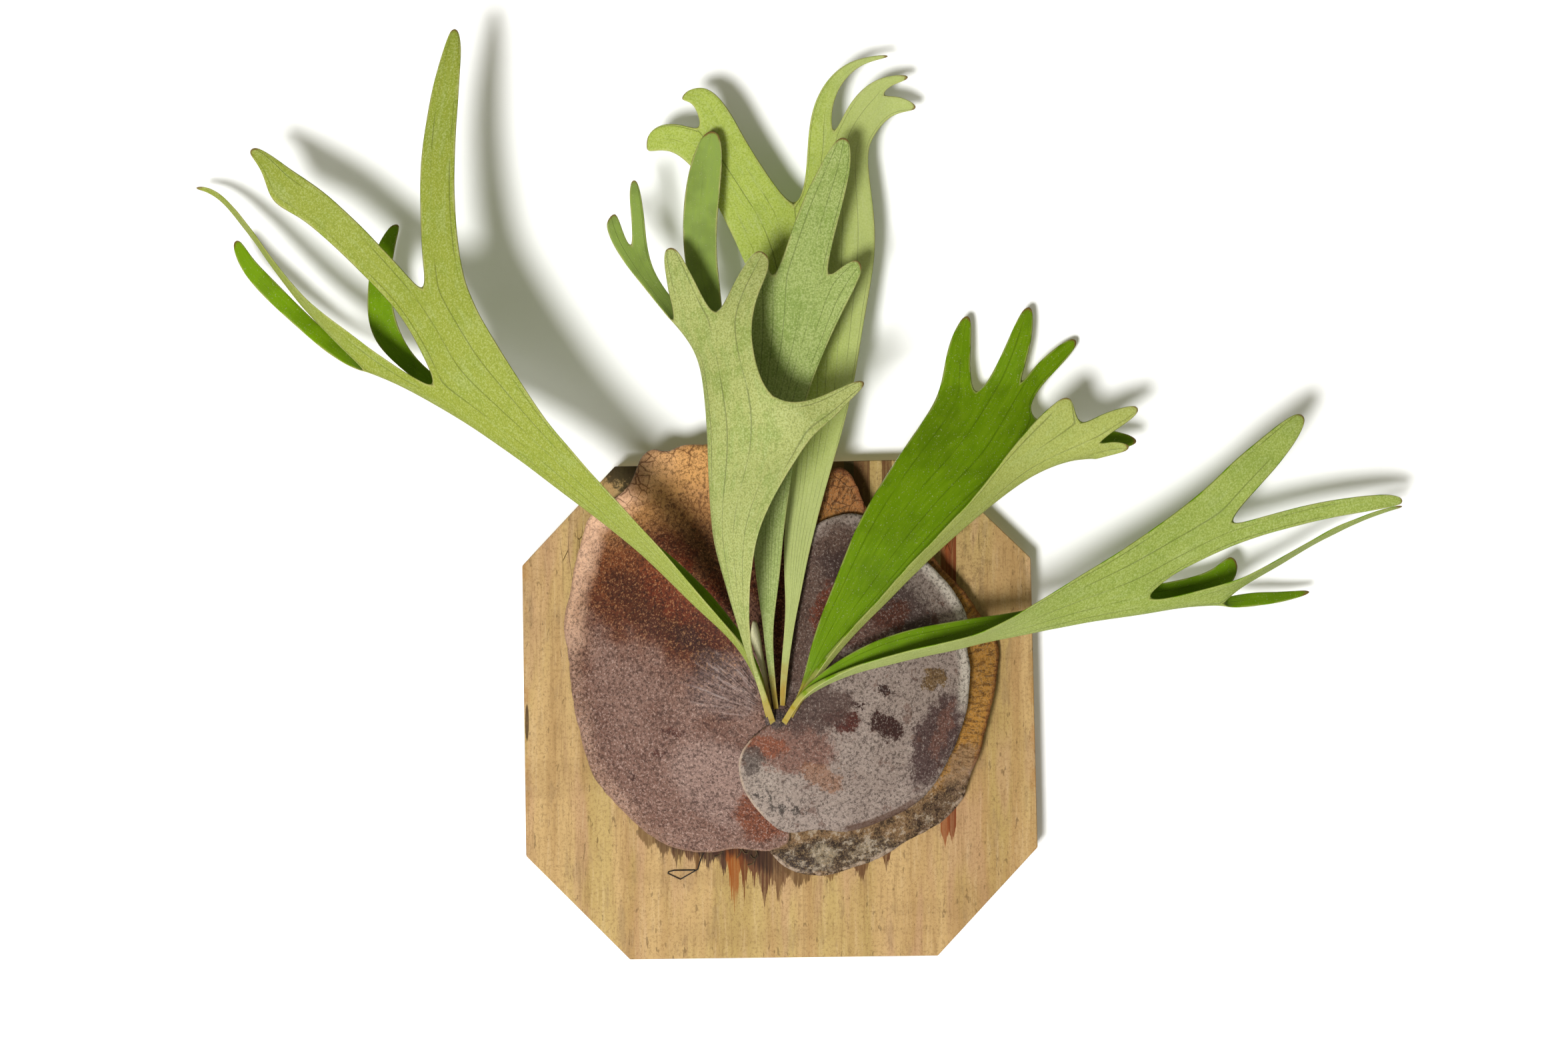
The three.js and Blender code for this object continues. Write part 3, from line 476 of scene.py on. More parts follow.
def right_shield_skin():
    paint = Paint("dry_right_shield", colours().silver)
    skin = dry_skin(paint)
    paint.coat(paint.smooth(skin.blotch, 0.4, 0.62) * 0.5, linear(136, 118, 108))
    left = paint.smooth(skin.x - skin.z * 0.3, 0.036, 0.0)
    paint.coat(left * 0.6, linear(170, 155, 143))
    patches(paint, skin, RIGHT_PATCHES)
    paint.coat(skin.dots * paint.smooth(skin.grit, 0.44, 0.58) * 0.34, linear(204, 190, 178))
    rust_specks = paint.smooth(paint.noise(skin.place, 75, 4, 0.75), 0.6, 0.66)
    paint.coat(rust_specks * 0.55, linear(92, 56, 42))
    low_rim = paint.blot(skin.x, skin.z, (6, -55), (17, 6), 0.8, -14)
    low_rim = paint.greater(low_rim, paint.blot(skin.x, skin.z, (-12, -45), (12, 5), 0.8, -35))
    etched = paint.smooth(paint.noise(skin.place, 240, 3, 0.7), 0.53, 0.6) * low_rim
    paint.coat(etched * 0.85, linear(50, 44, 40))
    band = paint.smooth(skin.rim, 0.009, 0.004) * paint.smooth(skin.z, -0.005, 0.012)
    paint.coat(band * paint.smooth(skin.x, 0.03, 0.08) * 0.65, linear(222, 212, 196))
    paint.coat(paint.smooth(skin.grit, 0.52, 0.4) * 0.7, linear(44, 28, 23))
    ragged = paint.smooth(skin.blotch, 0.36, 0.52)
    under = paint.smooth(skin.rim, 0.0044, 0.003) * paint.blot(skin.x, skin.z, (42, -60), (46, 30), 0.4)
    paint.coat(under * ragged * 0.75, linear(82, 52, 36))
    # Painted highlight: a pale ragged line along the curled free margin, on the left.
    rim_highlight = paint.smooth(skin.rim, 0.0018, 0.0005) * paint.smooth(skin.x, 0.05, 0.0) * ragged
    paint.coat(rim_highlight * 0.6, linear(202, 178, 154))
    height = skin.grit * 0.8 + skin.fan * 0.6 + skin.dots * 0.2
    return paint.finish(0.55, height, 0.4 * MM, specular=0.18)


def old_shield_skin():
    paint = Paint("dry_old_shield", mixed(colours().ochre, linear(206, 148, 62), 0.5))
    skin = dry_skin(paint)
    low = paint.smooth(skin.z + skin.blotch * 0.05, 0.0, -0.03)
    paint.coat(low * 0.85, linear(112, 90, 70))
    top = paint.smooth(skin.z + skin.x * 0.4, 0.108, 0.135)
    paint.coat(top * 0.8, linear(168, 110, 66))
    patches(paint, skin, OLD_PATCHES)
    wrinkle = paint.streaks(paint.attribute("along") * 150, paint.attribute("across") * 180, 0, 3, 0.6)
    paint.coat(paint.smooth(wrinkle, 0.5, 0.58) * (1 - low) * 0.65, linear(84, 50, 22))
    net = net_of_veins(paint, skin.place, 130) * top
    paint.coat(net * 0.7, linear(92, 52, 30))
    mottle = paint.noise(skin.place, 150, 4, 0.75)
    paint.coat(paint.smooth(mottle, 0.52, 0.62) * low * 0.6, linear(198, 182, 160))
    paint.coat(paint.smooth(mottle, 0.48, 0.38) * low * 0.8, linear(38, 28, 22))
    paint.coat(paint.smooth(skin.grit, 0.5, 0.4) * 0.6, linear(54, 36, 26))
    paint.coat(skin.dots * 0.3, linear(184, 154, 112))
    ragged = paint.smooth(mottle, 0.42, 0.56)
    # Painted highlight: a pale ragged line along the curled lower margin.
    paint.coat(paint.smooth(skin.rim, 0.0036, 0.001) * low * ragged * 0.6, linear(206, 182, 160))
    paint.coat(paint.smooth(skin.rim, 0.004, 0.001) * (1 - low) * 0.4, linear(140, 78, 50))
    height = skin.grit * 0.9 + wrinkle * 1.2 + net * 0.5 + mottle * low
    return paint.finish(0.8, height, 0.6 * MM, specular=0.15)


def shield_back():
    paint = Paint("dry_shield_back", linear(74, 50, 36))
    place = paint.place()
    grain = paint.noise(place, 500, 3, 0.7)
    paint.coat(paint.smooth(grain, 0.4, 0.65), linear(132, 98, 66))
    return paint.finish(0.85, grain, 0.3 * MM)


# The drips that run down the board from under the shields: the middle and half width of each run, how far
# down it reaches, in millimetres, and its colour.
DRIPS = [
    (-77, 6, 8, (124, 94, 58)), (-68, 5, 15, (104, 76, 48)), (-60, 6, 16, (88, 58, 38)),
    (-53, 5, 14, (90, 56, 38)), (-48.5, 2.4, 27, (104, 70, 38)), (-42, 8, 15, (74, 46, 34)),
    (-33, 7, 16, (78, 46, 34)), (-26.5, 6, 41, (150, 78, 24)), (-21, 3.4, 37, (108, 56, 26)),
    (-15, 6, 18, (104, 62, 40)), (-9, 5, 29, (96, 58, 38)), (-1, 8, 20, (104, 68, 42)),
    (12, 10, 12, (108, 78, 46)), (30, 8, 8, (126, 92, 54)), (48, 5, 13, (104, 70, 42)),
    (62.6, 3, 15, (96, 58, 32)), (97, 3, 15, (140, 70, 30)), (101, 2.4, 12, (124, 62, 30)),
]
ANY_HEIGHT = 4000  # a blot's radius in millimetres, where only its place across counts


def drips(paint, x, z, face):
    """Stains below the shields: a run for each of DRIPS, ragged below, from the line of the shields' edge,
    where they are darkest."""
    sag = paint.blot(x, z, (24, 0), (52, ANY_HEIGHT), 1) * (10.5 * MM)
    hem = x * x * 1.6 - 85.5 * MM - sag
    spikes = paint.smooth(paint.streaks(x * 640, 0, z * 6, 3, 0.85), 0.32, 0.68)
    thread = paint.smooth(paint.streaks(x * 700, 0, z * 24, 2), 0.34, 0.62)
    for middle, half, length, tint in DRIPS:
        aside = paint.maths("ABSOLUTE", x - middle * MM) * (1 / (half * MM))
        reach = (1 - aside) * (0.42 + spikes * 0.58)
        wet = paint.smooth(z - hem + reach * (length * MM), -0.3 * MM, 0.9 * MM)
        wet = wet * paint.smooth(aside, 1.0, 0.9) * face
        paint.coat(wet * (0.72 + thread * 0.26), linear(*tint))
    soot = paint.smooth(z - hem + spikes * 0.007, -1 * MM, 4 * MM)
    soot = soot * paint.blot(x, z, (-34, 0), (42, ANY_HEIGHT), 0.7) * face
    paint.coat(soot * (0.55 + thread * 0.35), linear(44, 28, 20))


def board_wood():
    """Sawn pine: upright grain, green, pink and grey streaks, dark flecks, a knot, checks, dark patches at
    the top, a split, worn sides, and drips below the shields."""
    look = colours()
    paint = Paint("sawn_pine", look.wood)
    place = paint.place()
    x, y, z = paint.parts(place)
    wander = paint.noise(place, 5, 2) * 0.02
    rings = paint.streaks((x + wander) * 46, y * 46, z * 1.6, 3, 0.6)
    fibre = paint.streaks(x * 420, y * 420, z * 26, 3, 0.75)
    saw = paint.streaks(x * 9, y * 200, z * 300, 3, 0.7)
    band = paint.streaks(x * 5, 0, z * 42, 2, 0.6)
    paint.coat(paint.smooth(rings, 0.4, 0.62) * 0.7, look.wood_dark)
    green = paint.smooth(paint.streaks((x + wander) * 26, y, z * 3, 3, 0.6), 0.48, 0.6)
    paint.coat(green * 0.45, linear(186, 166, 96))
    pink = paint.smooth(paint.streaks((x - wander) * 30, y, z * 4, 2, 0.6, scale=2), 0.52, 0.64)
    paint.coat(pink * 0.4, linear(196, 154, 124))
    grey = paint.smooth(paint.streaks((x + wander * 2) * 40, y, z * 9, 4, 0.65, scale=3), 0.54, 0.66)
    paint.coat(grey * 0.42, linear(146, 120, 88))
    paint.coat(paint.smooth(band, 0.52, 0.64) * 0.2, linear(152, 120, 78))
    paint.coat(paint.smooth(fibre, 0.52, 0.66) * 0.32, linear(138, 104, 64))
    paint.coat(paint.smooth(fibre, 0.46, 0.34) * 0.25, linear(222, 194, 150))
    grain = paint.noise(place, 560, 3, 0.8)
    paint.coat(paint.smooth(grain, 0.52, 0.38) * 0.45, linear(140, 108, 70))
    fleck = paint.smooth(paint.streaks(x * 380, y * 380, z * 130, 2, 0.6), 0.64, 0.7)
    paint.coat(fleck * 0.5, linear(92, 68, 44))
    knot = paint.blot(x, z, (112, 88), (22, 34), 1.0)
    paint.coat(knot * paint.smooth(paint.noise(place, 180, 4, 0.8), 0.5, 0.6) * 0.4, linear(106, 78, 50))
    corners = paint.greater(
        paint.blot(x, z, (-118, 88), (14, 26), 0.8), paint.blot(x, z, (106, 98), (15, 9), 0.8))
    check = paint.seams(paint.join(x * 210, y * 60, z * 26), 1, 0.014) * corners
    paint.coat(check * 0.8, linear(96, 62, 30))
    frayed = (x + (grain - 0.5) * 0.012, z + (paint.noise(place, 160, 4, 0.8) - 0.5) * 0.03)
    # Dark patches on the front near the top: moss at the left corner, and a dark patch beside the old
    # shield's top.
    dark_top_patches = paint.greater(paint.blot(*frayed, (-86, 140), (22, 12)), paint.blot(*frayed, (40, 134), (10, 22)))
    paint.coat(dark_top_patches * paint.smooth(y, -0.004, -0.013) * 0.88, linear(48, 42, 24))
    split = paint.blot(x, z, (-147.8, -8), (1.1, 12))
    paint.coat(split * 0.85, linear(64, 42, 24))
    worn = paint.smooth(paint.noise(place, 90, 3, 0.7), 0.46, 0.58)
    for side in (-1, 1):
        paint.coat(paint.smooth(x * side, 144 * MM, 150 * MM) * 0.5 * worn, linear(170, 122, 62))
    drips(paint, x, z, paint.smooth(y, -16 * MM, -17.5 * MM))
    height = fibre * 0.5 + rings * 0.6 + saw * 0.4 - check * 2 - split * 2
    return paint.finish(0.74, height, 0.3 * MM, specular=0.15)


def moss_and_roots():
    paint = Paint("moss_and_roots", linear(58, 42, 28))
    place = paint.place()
    thread = paint.noise(place, 260, 4, 0.75, 1.5)
    clump = paint.noise(place, 60, 3, 0.6)
    paint.coat(paint.smooth(clump, 0.42, 0.6), linear(96, 76, 44))
    paint.coat(paint.smooth(thread, 0.5, 0.66) * 0.7, linear(138, 112, 72))
    paint.coat(paint.smooth(thread, 0.44, 0.3) * 0.8, linear(26, 18, 12))
    return paint.finish(0.95, thread + clump, 1.5 * MM)


def bud_scales():
    """The shields' own colours, redder below the stalks, with painted shade darkening the middle among them.
    """
    paint = Paint("bud_scales", linear(96, 78, 74))
    place = paint.place()
    x, _, z = paint.parts(place)
    fuzz = paint.noise(place, 900, 3, 0.75)
    gaps = paint.seams(place, 330, 0.1)
    right = paint.smooth(x + (fuzz - 0.5) * 0.01, -0.006, 0.004)
    paint.coat(right, linear(104, 76, 68))
    paint.coat(paint.smooth(z, -0.006, -0.012) * 0.7, linear(112, 72, 54))
    # Painted shade: a dark spot in the middle, among the stalks' feet.
    paint.coat(paint.blot(x, z, (-0.5, -3), (7.5, 6.5), 0.9) * 0.85, linear(40, 26, 20))
    paint.coat(paint.smooth(fuzz, 0.52, 0.66) * 0.5, linear(178, 150, 130))
    paint.coat(gaps * 0.6, linear(38, 26, 22))
    return paint.finish(0.75, fuzz - gaps, 0.4 * MM)


def dark_wire():
    paint = Paint("dark_wire", linear(30, 26, 24))
    place = paint.place()
    wear = paint.smooth(paint.noise(place, 500, 3, 0.6), 0.52, 0.62)
    paint.coat(wear * 0.5, linear(84, 60, 44))
    return paint.finish(0.4 + wear * 0.35, wear, 0.05 * MM, metallic=0.6)


def backdrop():
    """The wall's paint. Seen from behind, the wall lets the eye through."""
    paint = Paint("pale_wall", colours().wall)
    paint.finish(0.9)
    clear = paint.node("ShaderNodeBsdfTransparent")
    behind = paint.node("ShaderNodeNewGeometry", output="Backfacing")
    shown = Wire(paint, paint.shader.outputs[0])
    both = paint.node("ShaderNodeMixShader", None, {0: behind, 1: shown, 2: clear})
    paint.tree.links.new(both.socket, paint.tree.nodes["Material Output"].inputs["Surface"])
    return paint.material


# ---- modelling by hand ----------------------------------------------------------------------------------


def deselect():
    if bpy.context.object and bpy.context.object.mode != "OBJECT":
        bpy.ops.object.mode_set(mode="OBJECT")
    bpy.ops.object.select_all(action="DESELECT")


def named(name):
    """The object that was just added, under its own name."""
    made = bpy.context.object
    made.name = made.data.name = name
    return made


def apply(piece, kind, **settings):
    modifier = piece.modifiers.new(kind.lower(), kind)
    for key, value in settings.items():
        setattr(modifier, key, value)
    bpy.context.view_layer.objects.active = piece
    bpy.ops.object.modifier_apply(modifier=modifier.name)


def subdivide(piece, levels):
    apply(piece, "SUBSURF", levels=levels, render_levels=levels)


def settle(piece, node, slot, *materials):
    """Smooths a finished piece, paints it, and puts it in its solid's stead on the one body."""
    for made in materials:
        piece.data.materials.append(made)
    piece.data.polygons.foreach_set("use_smooth", [True] * len(piece.data.polygons))
    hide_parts(node)
    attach(piece, "root")


class Sheet:
    """A sheet of leaf grown in edit mode: each row is the last one extruded and then moved. Its points carry
    how far across and along the leaf they are, and how near a tip."""

    MARKS = ("across", "along", "tip")

    def __init__(self, name, columns):
        deselect()
        bpy.ops.mesh.primitive_grid_add(x_subdivisions=columns, y_subdivisions=1)
        self.object = named(name)
        bpy.ops.object.mode_set(mode="EDIT")
        for mark in self.MARKS:
            self.mesh.verts.layers.float.new(mark)
        self.first = list(range(columns + 1))
        self.second = list(range(columns + 1, 2 * columns + 2))

    @property
    def mesh(self):
        mesh = bmesh.from_edit_mesh(self.object.data)
        mesh.verts.ensure_lookup_table()
        return mesh

    def move(self, row, places, marks):
        mesh = self.mesh
        layers = [mesh.verts.layers.float[mark] for mark in self.MARKS]
        for index, place, values in zip(row, places, marks):
            mesh.verts[index].co = place
            for layer, value in zip(layers, values):
                mesh.verts[index][layer] = value
        bmesh.update_edit_mesh(self.object.data)

    def extrude(self, row):
        """The new row that grows out of that one."""
        bpy.ops.mesh.select_all(action="DESELECT")
        mesh = self.mesh
        for index in row:
            mesh.verts[index].select = True
        mesh.select_flush_mode()
        bmesh.update_edit_mesh(self.object.data)
        bpy.ops.mesh.extrude_region()
        mesh = self.mesh
        mesh.verts.index_update()
        fresh = []
        for index in row:
            ends = (edge.other_vert(mesh.verts[index]) for edge in mesh.verts[index].link_edges)
            fresh.append(next(end.index for end in ends if end.select))
        return fresh

    def done(self):
        bpy.ops.object.mode_set(mode="OBJECT")
        return self.object


def mark_rim(piece):
    """Gives each point of an open sheet its distance to the nearest margin."""
    mesh = piece.data
    faces_at = {}
    for face in mesh.polygons:
        for key in face.edge_keys:
            faces_at[key] = faces_at.get(key, 0) + 1
    open_edges = [key for key, count in faces_at.items() if count == 1]
    tree = kdtree.KDTree(3 * len(open_edges))
    for number, (a, b) in enumerate(open_edges):
        start, end = mesh.vertices[a].co, mesh.vertices[b].co
        for step in range(3):
            tree.insert(start.lerp(end, step / 3), 3 * number + step)
    tree.balance()
    rim = mesh.attributes.new("rim", "FLOAT", "POINT")
    rim.data.foreach_set("value", [tree.find(point.co)[2] for point in mesh.vertices])


def thicken(piece, thickness, faces, **settings):
    """Walls a sheet, with one material on the face that it had and the other on its new one."""
    for face in faces:
        piece.data.materials.append(face)
    apply(piece, "SOLIDIFY", thickness=thickness, offset=0, material_offset=1, **settings)


def values_of(piece, mark):
    return [entry.value for entry in piece.data.attributes[mark].data]


def push(piece, distance):
    """Moves each point along its normal by distance(point index, its place)."""
    moves = [point.normal * distance(point.index, point.co) for point in piece.data.vertices]
    for point, move in zip(piece.data.vertices, moves):
        point.co += move


# ---- fronds ---------------------------------------------------------------------------------------------

Strap = namedtuple("Strap", "columns rungs forks")


def strap(columns, rungs, *forks):
    """A stretch of blade: its columns, its rungs from foot to tip, and the straps that it forks into, in
    order across. A rung holds points [x, z, stand] in millimetres, from one margin to the other."""
    return Strap(columns, rungs, forks)


def spread(rung, columns, fold):
    """The points of one rung, one more than the columns. A rung of three points has its fold second."""
    if len(rung) == columns + 1:
        return rung
    stops = [0, fold, columns] if len(rung) == 3 else [0, columns]
    points = []
    for column in range(columns + 1):
        start = 1 if len(stops) == 3 and column > fold else 0
        share = (column - stops[start]) / (stops[start + 1] - stops[start])
        points.append(mixed(rung[start], rung[start + 1], share))
    return points


def grow(sheet, part, fold, row, middle, run, offset, whole):
    """Grows a strap from a row of the sheet, and then the straps that it forks into."""
    for rung in part.rungs:
        places = [at(x * MM, z * MM, stand * MM) for x, z, stand in spread(rung, part.columns, fold)]
        centre = places[0].lerp(places[-1], 0.5)
        run += (centre - middle).length if middle else 0
        if middle is None:
            row = sheet.first
        elif row == sheet.first:
            row = sheet.second
        else:
            row = sheet.extrude(row)
        left = len(part.rungs) - 1 - part.rungs.index(rung)
        tip = 0 if part.forks else max(0.0, 1 - left / 2)
        columns = range(offset, offset + part.columns + 1)
        sheet.move(row, places, [(column / whole, run, tip) for column in columns])
        middle = centre
    start = 0
    for fork in part.forks:
        grow(sheet, fork, fold, row[start:start + fork.columns + 1], middle, run, offset + start, whole)
        start += fork.columns


def frond(name, blade, fold, faces):
    """A frond's closed mesh: its cage grown row by row, smoothed, rippled, thickened and rounded. Its two
    faces have the two materials."""
    sizes = bpy.context.scene.fern_sizes
    sheet = Sheet(name, blade.columns)
    grow(sheet, blade, fold, None, None, 0, 0, blade.columns)
    piece = sheet.done()
    subdivide(piece, sizes.detail)
    mark_rim(piece)
    along, rim = values_of(piece, "along"), values_of(piece, "rim")

    def ripple(index, place):
        free = smoothstep(along[index], 0.5 * sizes.stalk_length, 1.5 * sizes.stalk_length)
        at_rim = waves(place, (90, 0.5)) * smoothstep(rim[index], 4 * MM, 0)
        return free * (waves(place, (34, 0.8), (120, 0.16)) + at_rim)

    push(piece, ripple)
    group = piece.vertex_groups.new(name="stalk")
    for index, distance in enumerate(along):
        stalk = 1 - smoothstep(distance, 0.35 * sizes.stalk_length, sizes.stalk_length)
        group.add([index], (sizes.blade + (sizes.stalk - sizes.blade) * stalk) / sizes.stalk, "REPLACE")
    thicken(piece, sizes.stalk, faces, vertex_group="stalk")
    piece.vertex_groups.clear()
    subdivide(piece, 1)
    return piece


LEFT_FROND = strap(5, [
    [[-5.6, -7, 37], [-5.6, -7, 40]],
    [[-6.6, -3, 45], [-7, -3, 48]],
    [[-9, 7.2, 48.5], [-9.4, 7.2, 52]],
    [[-11.5, 22, 50.5], [-13.6, 20.2, 54], [-12.3, 21, 58]],
    [[-20.1, 41, 53], [-24.6, 37.4, 58], [-22.4, 39.2, 63]],
    [[-34, 60.3, 57], [-44.3, 53, 64], [-39.6, 57.5, 73]],
    [[-57, 86, 57], [-66, 75, 68], [-60.5, 83.5, 82]],
    [[-91, 110, 52], [-97.5, 103, 66], [-88, 114, 84]],
    [[-120, 133, 46], [-122, 120.5, 62], [-109.5, 136.5, 82]],
    [[-148, 161, 42], [-156, 145, 58], [-136.3, 167.5, 80]],
    [[-187, 184, 30], [-200.7, 184, 28], [-207, 179, 44], [-199.5, 185, 58], [-183, 201, 68],
     [-162.8, 209.2, 76]],
],
strap(1, [
    [[-217.4, 206, 20], [-237.7, 210, 16]],
    [[-228, 235.4, 16], [-242.4, 232.2, 13]],
    [[-226.8, 262.7, 12], [-240.4, 258.8, 10]],
    [[-222.9, 278, 8], [-234, 274, 7]],
    [[-221.8, 283.6, 5], [-227, 284, 5]],
]),
strap(2, [
    [[-235.4, 202, 22], [-237, 193.5, 36], [-222.1, 198, 48]],
],
strap(1, [
    [[-261, 216, 15], [-260, 203.5, 24]],
    [[-282.6, 237.3, 11], [-279, 220.3, 16]],
    [[-298, 253, 8], [-300.4, 239, 10]],
    [[-309.5, 264.5, 6], [-316, 256.4, 7]],
    [[-315.5, 275.5, 4], [-321.5, 274, 4]],
]),
strap(1, [
    [[-257, 210.4, 32], [-257, 223.4, 46]],
    [[-279.6, 235.2, 24], [-277, 238.6, 42]],
    [[-300, 261.6, 17], [-296.6, 261.8, 32]],
    [[-314.6, 284.4, 8], [-312.2, 286.4, 17]],
    [[-330, 300.8, 1], [-329, 304, 5]],
    [[-342.4, 303.9, -4], [-342, 305.9, -2]],
])),
strap(2, [
    [[-206.5, 201, 56], [-190.9, 217.8, 68], [-174.2, 228, 76]],
    [[-219, 227.4, 54], [-206, 239, 64], [-183.8, 247.5, 72]],
],
strap(1, [
    [[-235.8, 246, 48], [-222.7, 260, 54]],
    [[-261.2, 271.2, 42], [-248.4, 286.6, 46]],
    [[-281.4, 289, 38], [-267, 303.6, 42]],
    [[-299, 295, 34], [-284.3, 314.6, 38]],
    [[-301.6, 315.5, 32], [-294, 321.8, 34]],
    [[-312.6, 325.6, 28], [-307, 330.4, 28]],
]),
strap(1, [
    [[-209.8, 263.4, 62], [-187.2, 265, 70]],
    [[-210.6, 294, 58], [-190, 291, 66]],
    [[-210.2, 327, 54], [-190.3, 324.3, 60]],
    [[-204, 362, 50], [-187.6, 360.2, 54]],
    [[-196.8, 386, 46], [-185.6, 386, 48]],
    [[-192.6, 398.6, 43], [-187.8, 398.6, 43]],
])))

FRONT_FROND = strap(6, [
    [[-3.6, -9.6, 38], [-3.6, -9.6, 42]],
    [[-4.6, -6.5, 47], [-4.6, -6.5, 51]],
    [[-9, 6.5, 59], [-9, 6.5, 63]],
    [[-14.8, 23.2, 65], [-14.8, 23.2, 69.5]],
    [[-17.6, 35.7, 67], [-20.5, 35, 71], [-17.2, 36, 76]],
    [[-21.4, 63.4, 64], [-29.5, 62.6, 71], [-18.4, 63.4, 81]],
    [[-24, 85.2, 60], [-37, 84, 70], [-16.2, 86, 85]],
    [[-25.4, 106.7, 56], [-42.4, 105.5, 67], [-11.9, 107.4, 87]],
    [[-26.4, 128, 54], [-44.8, 128, 66], [-0.6, 130, 89]],
    [[-26.4, 149.6, 52], [-45.6, 154.2, 64], [14.6, 154.2, 89]],
    [[-27, 176, 49], [-33.5, 176, 51], [-39.5, 177.5, 55], [-46.6, 180.8, 62], [-29, 180, 76], [-6, 180, 86],
     [22, 162, 88]],
],
strap(5, [
    [[-28.5, 202, 45], [-35.5, 202, 44], [-43, 202, 49], [-50, 202.2, 58], [-33, 206, 72], [-15.8, 206, 80]],
    [[-32.5, 222, 41], [-44.5, 222, 38], [-52, 222, 43], [-59.4, 220.5, 52], [-37.2, 226, 68],
     [-16.6, 227, 76]],
],
strap(1, [
    [[-34.2, 243.2, 36], [-52.4, 243.2, 33]],
    [[-37.4, 266.6, 34], [-57, 266.6, 30]],
    [[-36, 292, 32], [-57, 292, 28]],
    [[-33, 317, 30], [-54, 317, 26]],
    [[-34, 339.6, 28], [-44.6, 339.6, 26]],
]),
strap(2, [
    [[-67.4, 243.4, 38], [-71, 242.2, 41], [-74.6, 240.6, 44]],
    [[-77.2, 262, 37], [-86, 266, 38], [-93.6, 263.6, 41]],
],
strap(1, [
    [[-78.8, 286, 35], [-86.6, 286, 35]],
    [[-81, 301, 34], [-88.4, 301, 34]],
    [[-83.4, 309.8, 33], [-87, 309.8, 33]],
]),
strap(1, [
    [[-92.4, 280, 38], [-101, 278.6, 40]],
    [[-95.6, 293, 37], [-102, 285, 39]],
])),
strap(1, [
    [[-65.4, 243, 50], [-47, 245, 62]],
    [[-68.2, 259, 50], [-54.8, 260.6, 58]],
    [[-67.8, 270.2, 50], [-60.6, 270.6, 53]],
]),
strap(1, [
    [[-29, 246.4, 66], [-12.4, 243.2, 72]],
    [[-20.4, 260.8, 64], [-6.3, 255.6, 68]],
    [[-13, 270.4, 62], [-5.6, 265, 63]],
])),
strap(1, [
    [[13.8, 178.4, 85], [32.6, 170.6, 84]],
    [[32.2, 186.6, 82], [40.4, 179.8, 81]],
    [[47.6, 193.6, 79], [51.6, 190.2, 78]],
]))

MIDDLE_FROND = strap(3, [
    [[-2.6, -5.8, 36], [0.2, -5.8, 36]],
    [[-3, -2, 43.5], [-0.2, -2, 43.5]],
    [[-5.4, 11.5, 48], [-2.1, 11.5, 48]],
    [[-9, 37.6, 52], [-4.1, 37.6, 52]],
    [[-10.3, 52.8, 53], [-3.5, 52.8, 53]],
    [[-14.6, 79, 53], [0.4, 79, 52]],
    [[-16, 105, 51], [2.3, 105, 49]],
    [[-18.5, 142, 47], [8, 142, 45]],
    [[-20, 180.8, 43], [14, 180.8, 42]],
    [[-21.5, 216, 41], [-2, 214, 43], [17, 214, 42], [29, 216, 41]],
    [[-21, 241, 40], [-3.7, 249, 42], [26.3, 250, 40], [37.4, 233, 42]],
],
strap(1, [
    [[-16.6, 254, 39], [-6.6, 258.4, 40]],
    [[-13.6, 264, 38], [-8.8, 265, 38]],
]),
strap(1, [
    [[5.4, 276, 40], [32.2, 276, 38]],
    [[13.4, 298.8, 38], [38, 298, 36]],
    [[24, 318.6, 36], [43, 319.6, 34]],
    [[33.6, 335.4, 34], [41, 335, 34]],
]),
strap(1, [
    [[36, 259.4, 40], [44.4, 247, 42]],
    [[45.4, 264.4, 40], [49.4, 258.4, 41]],
]))

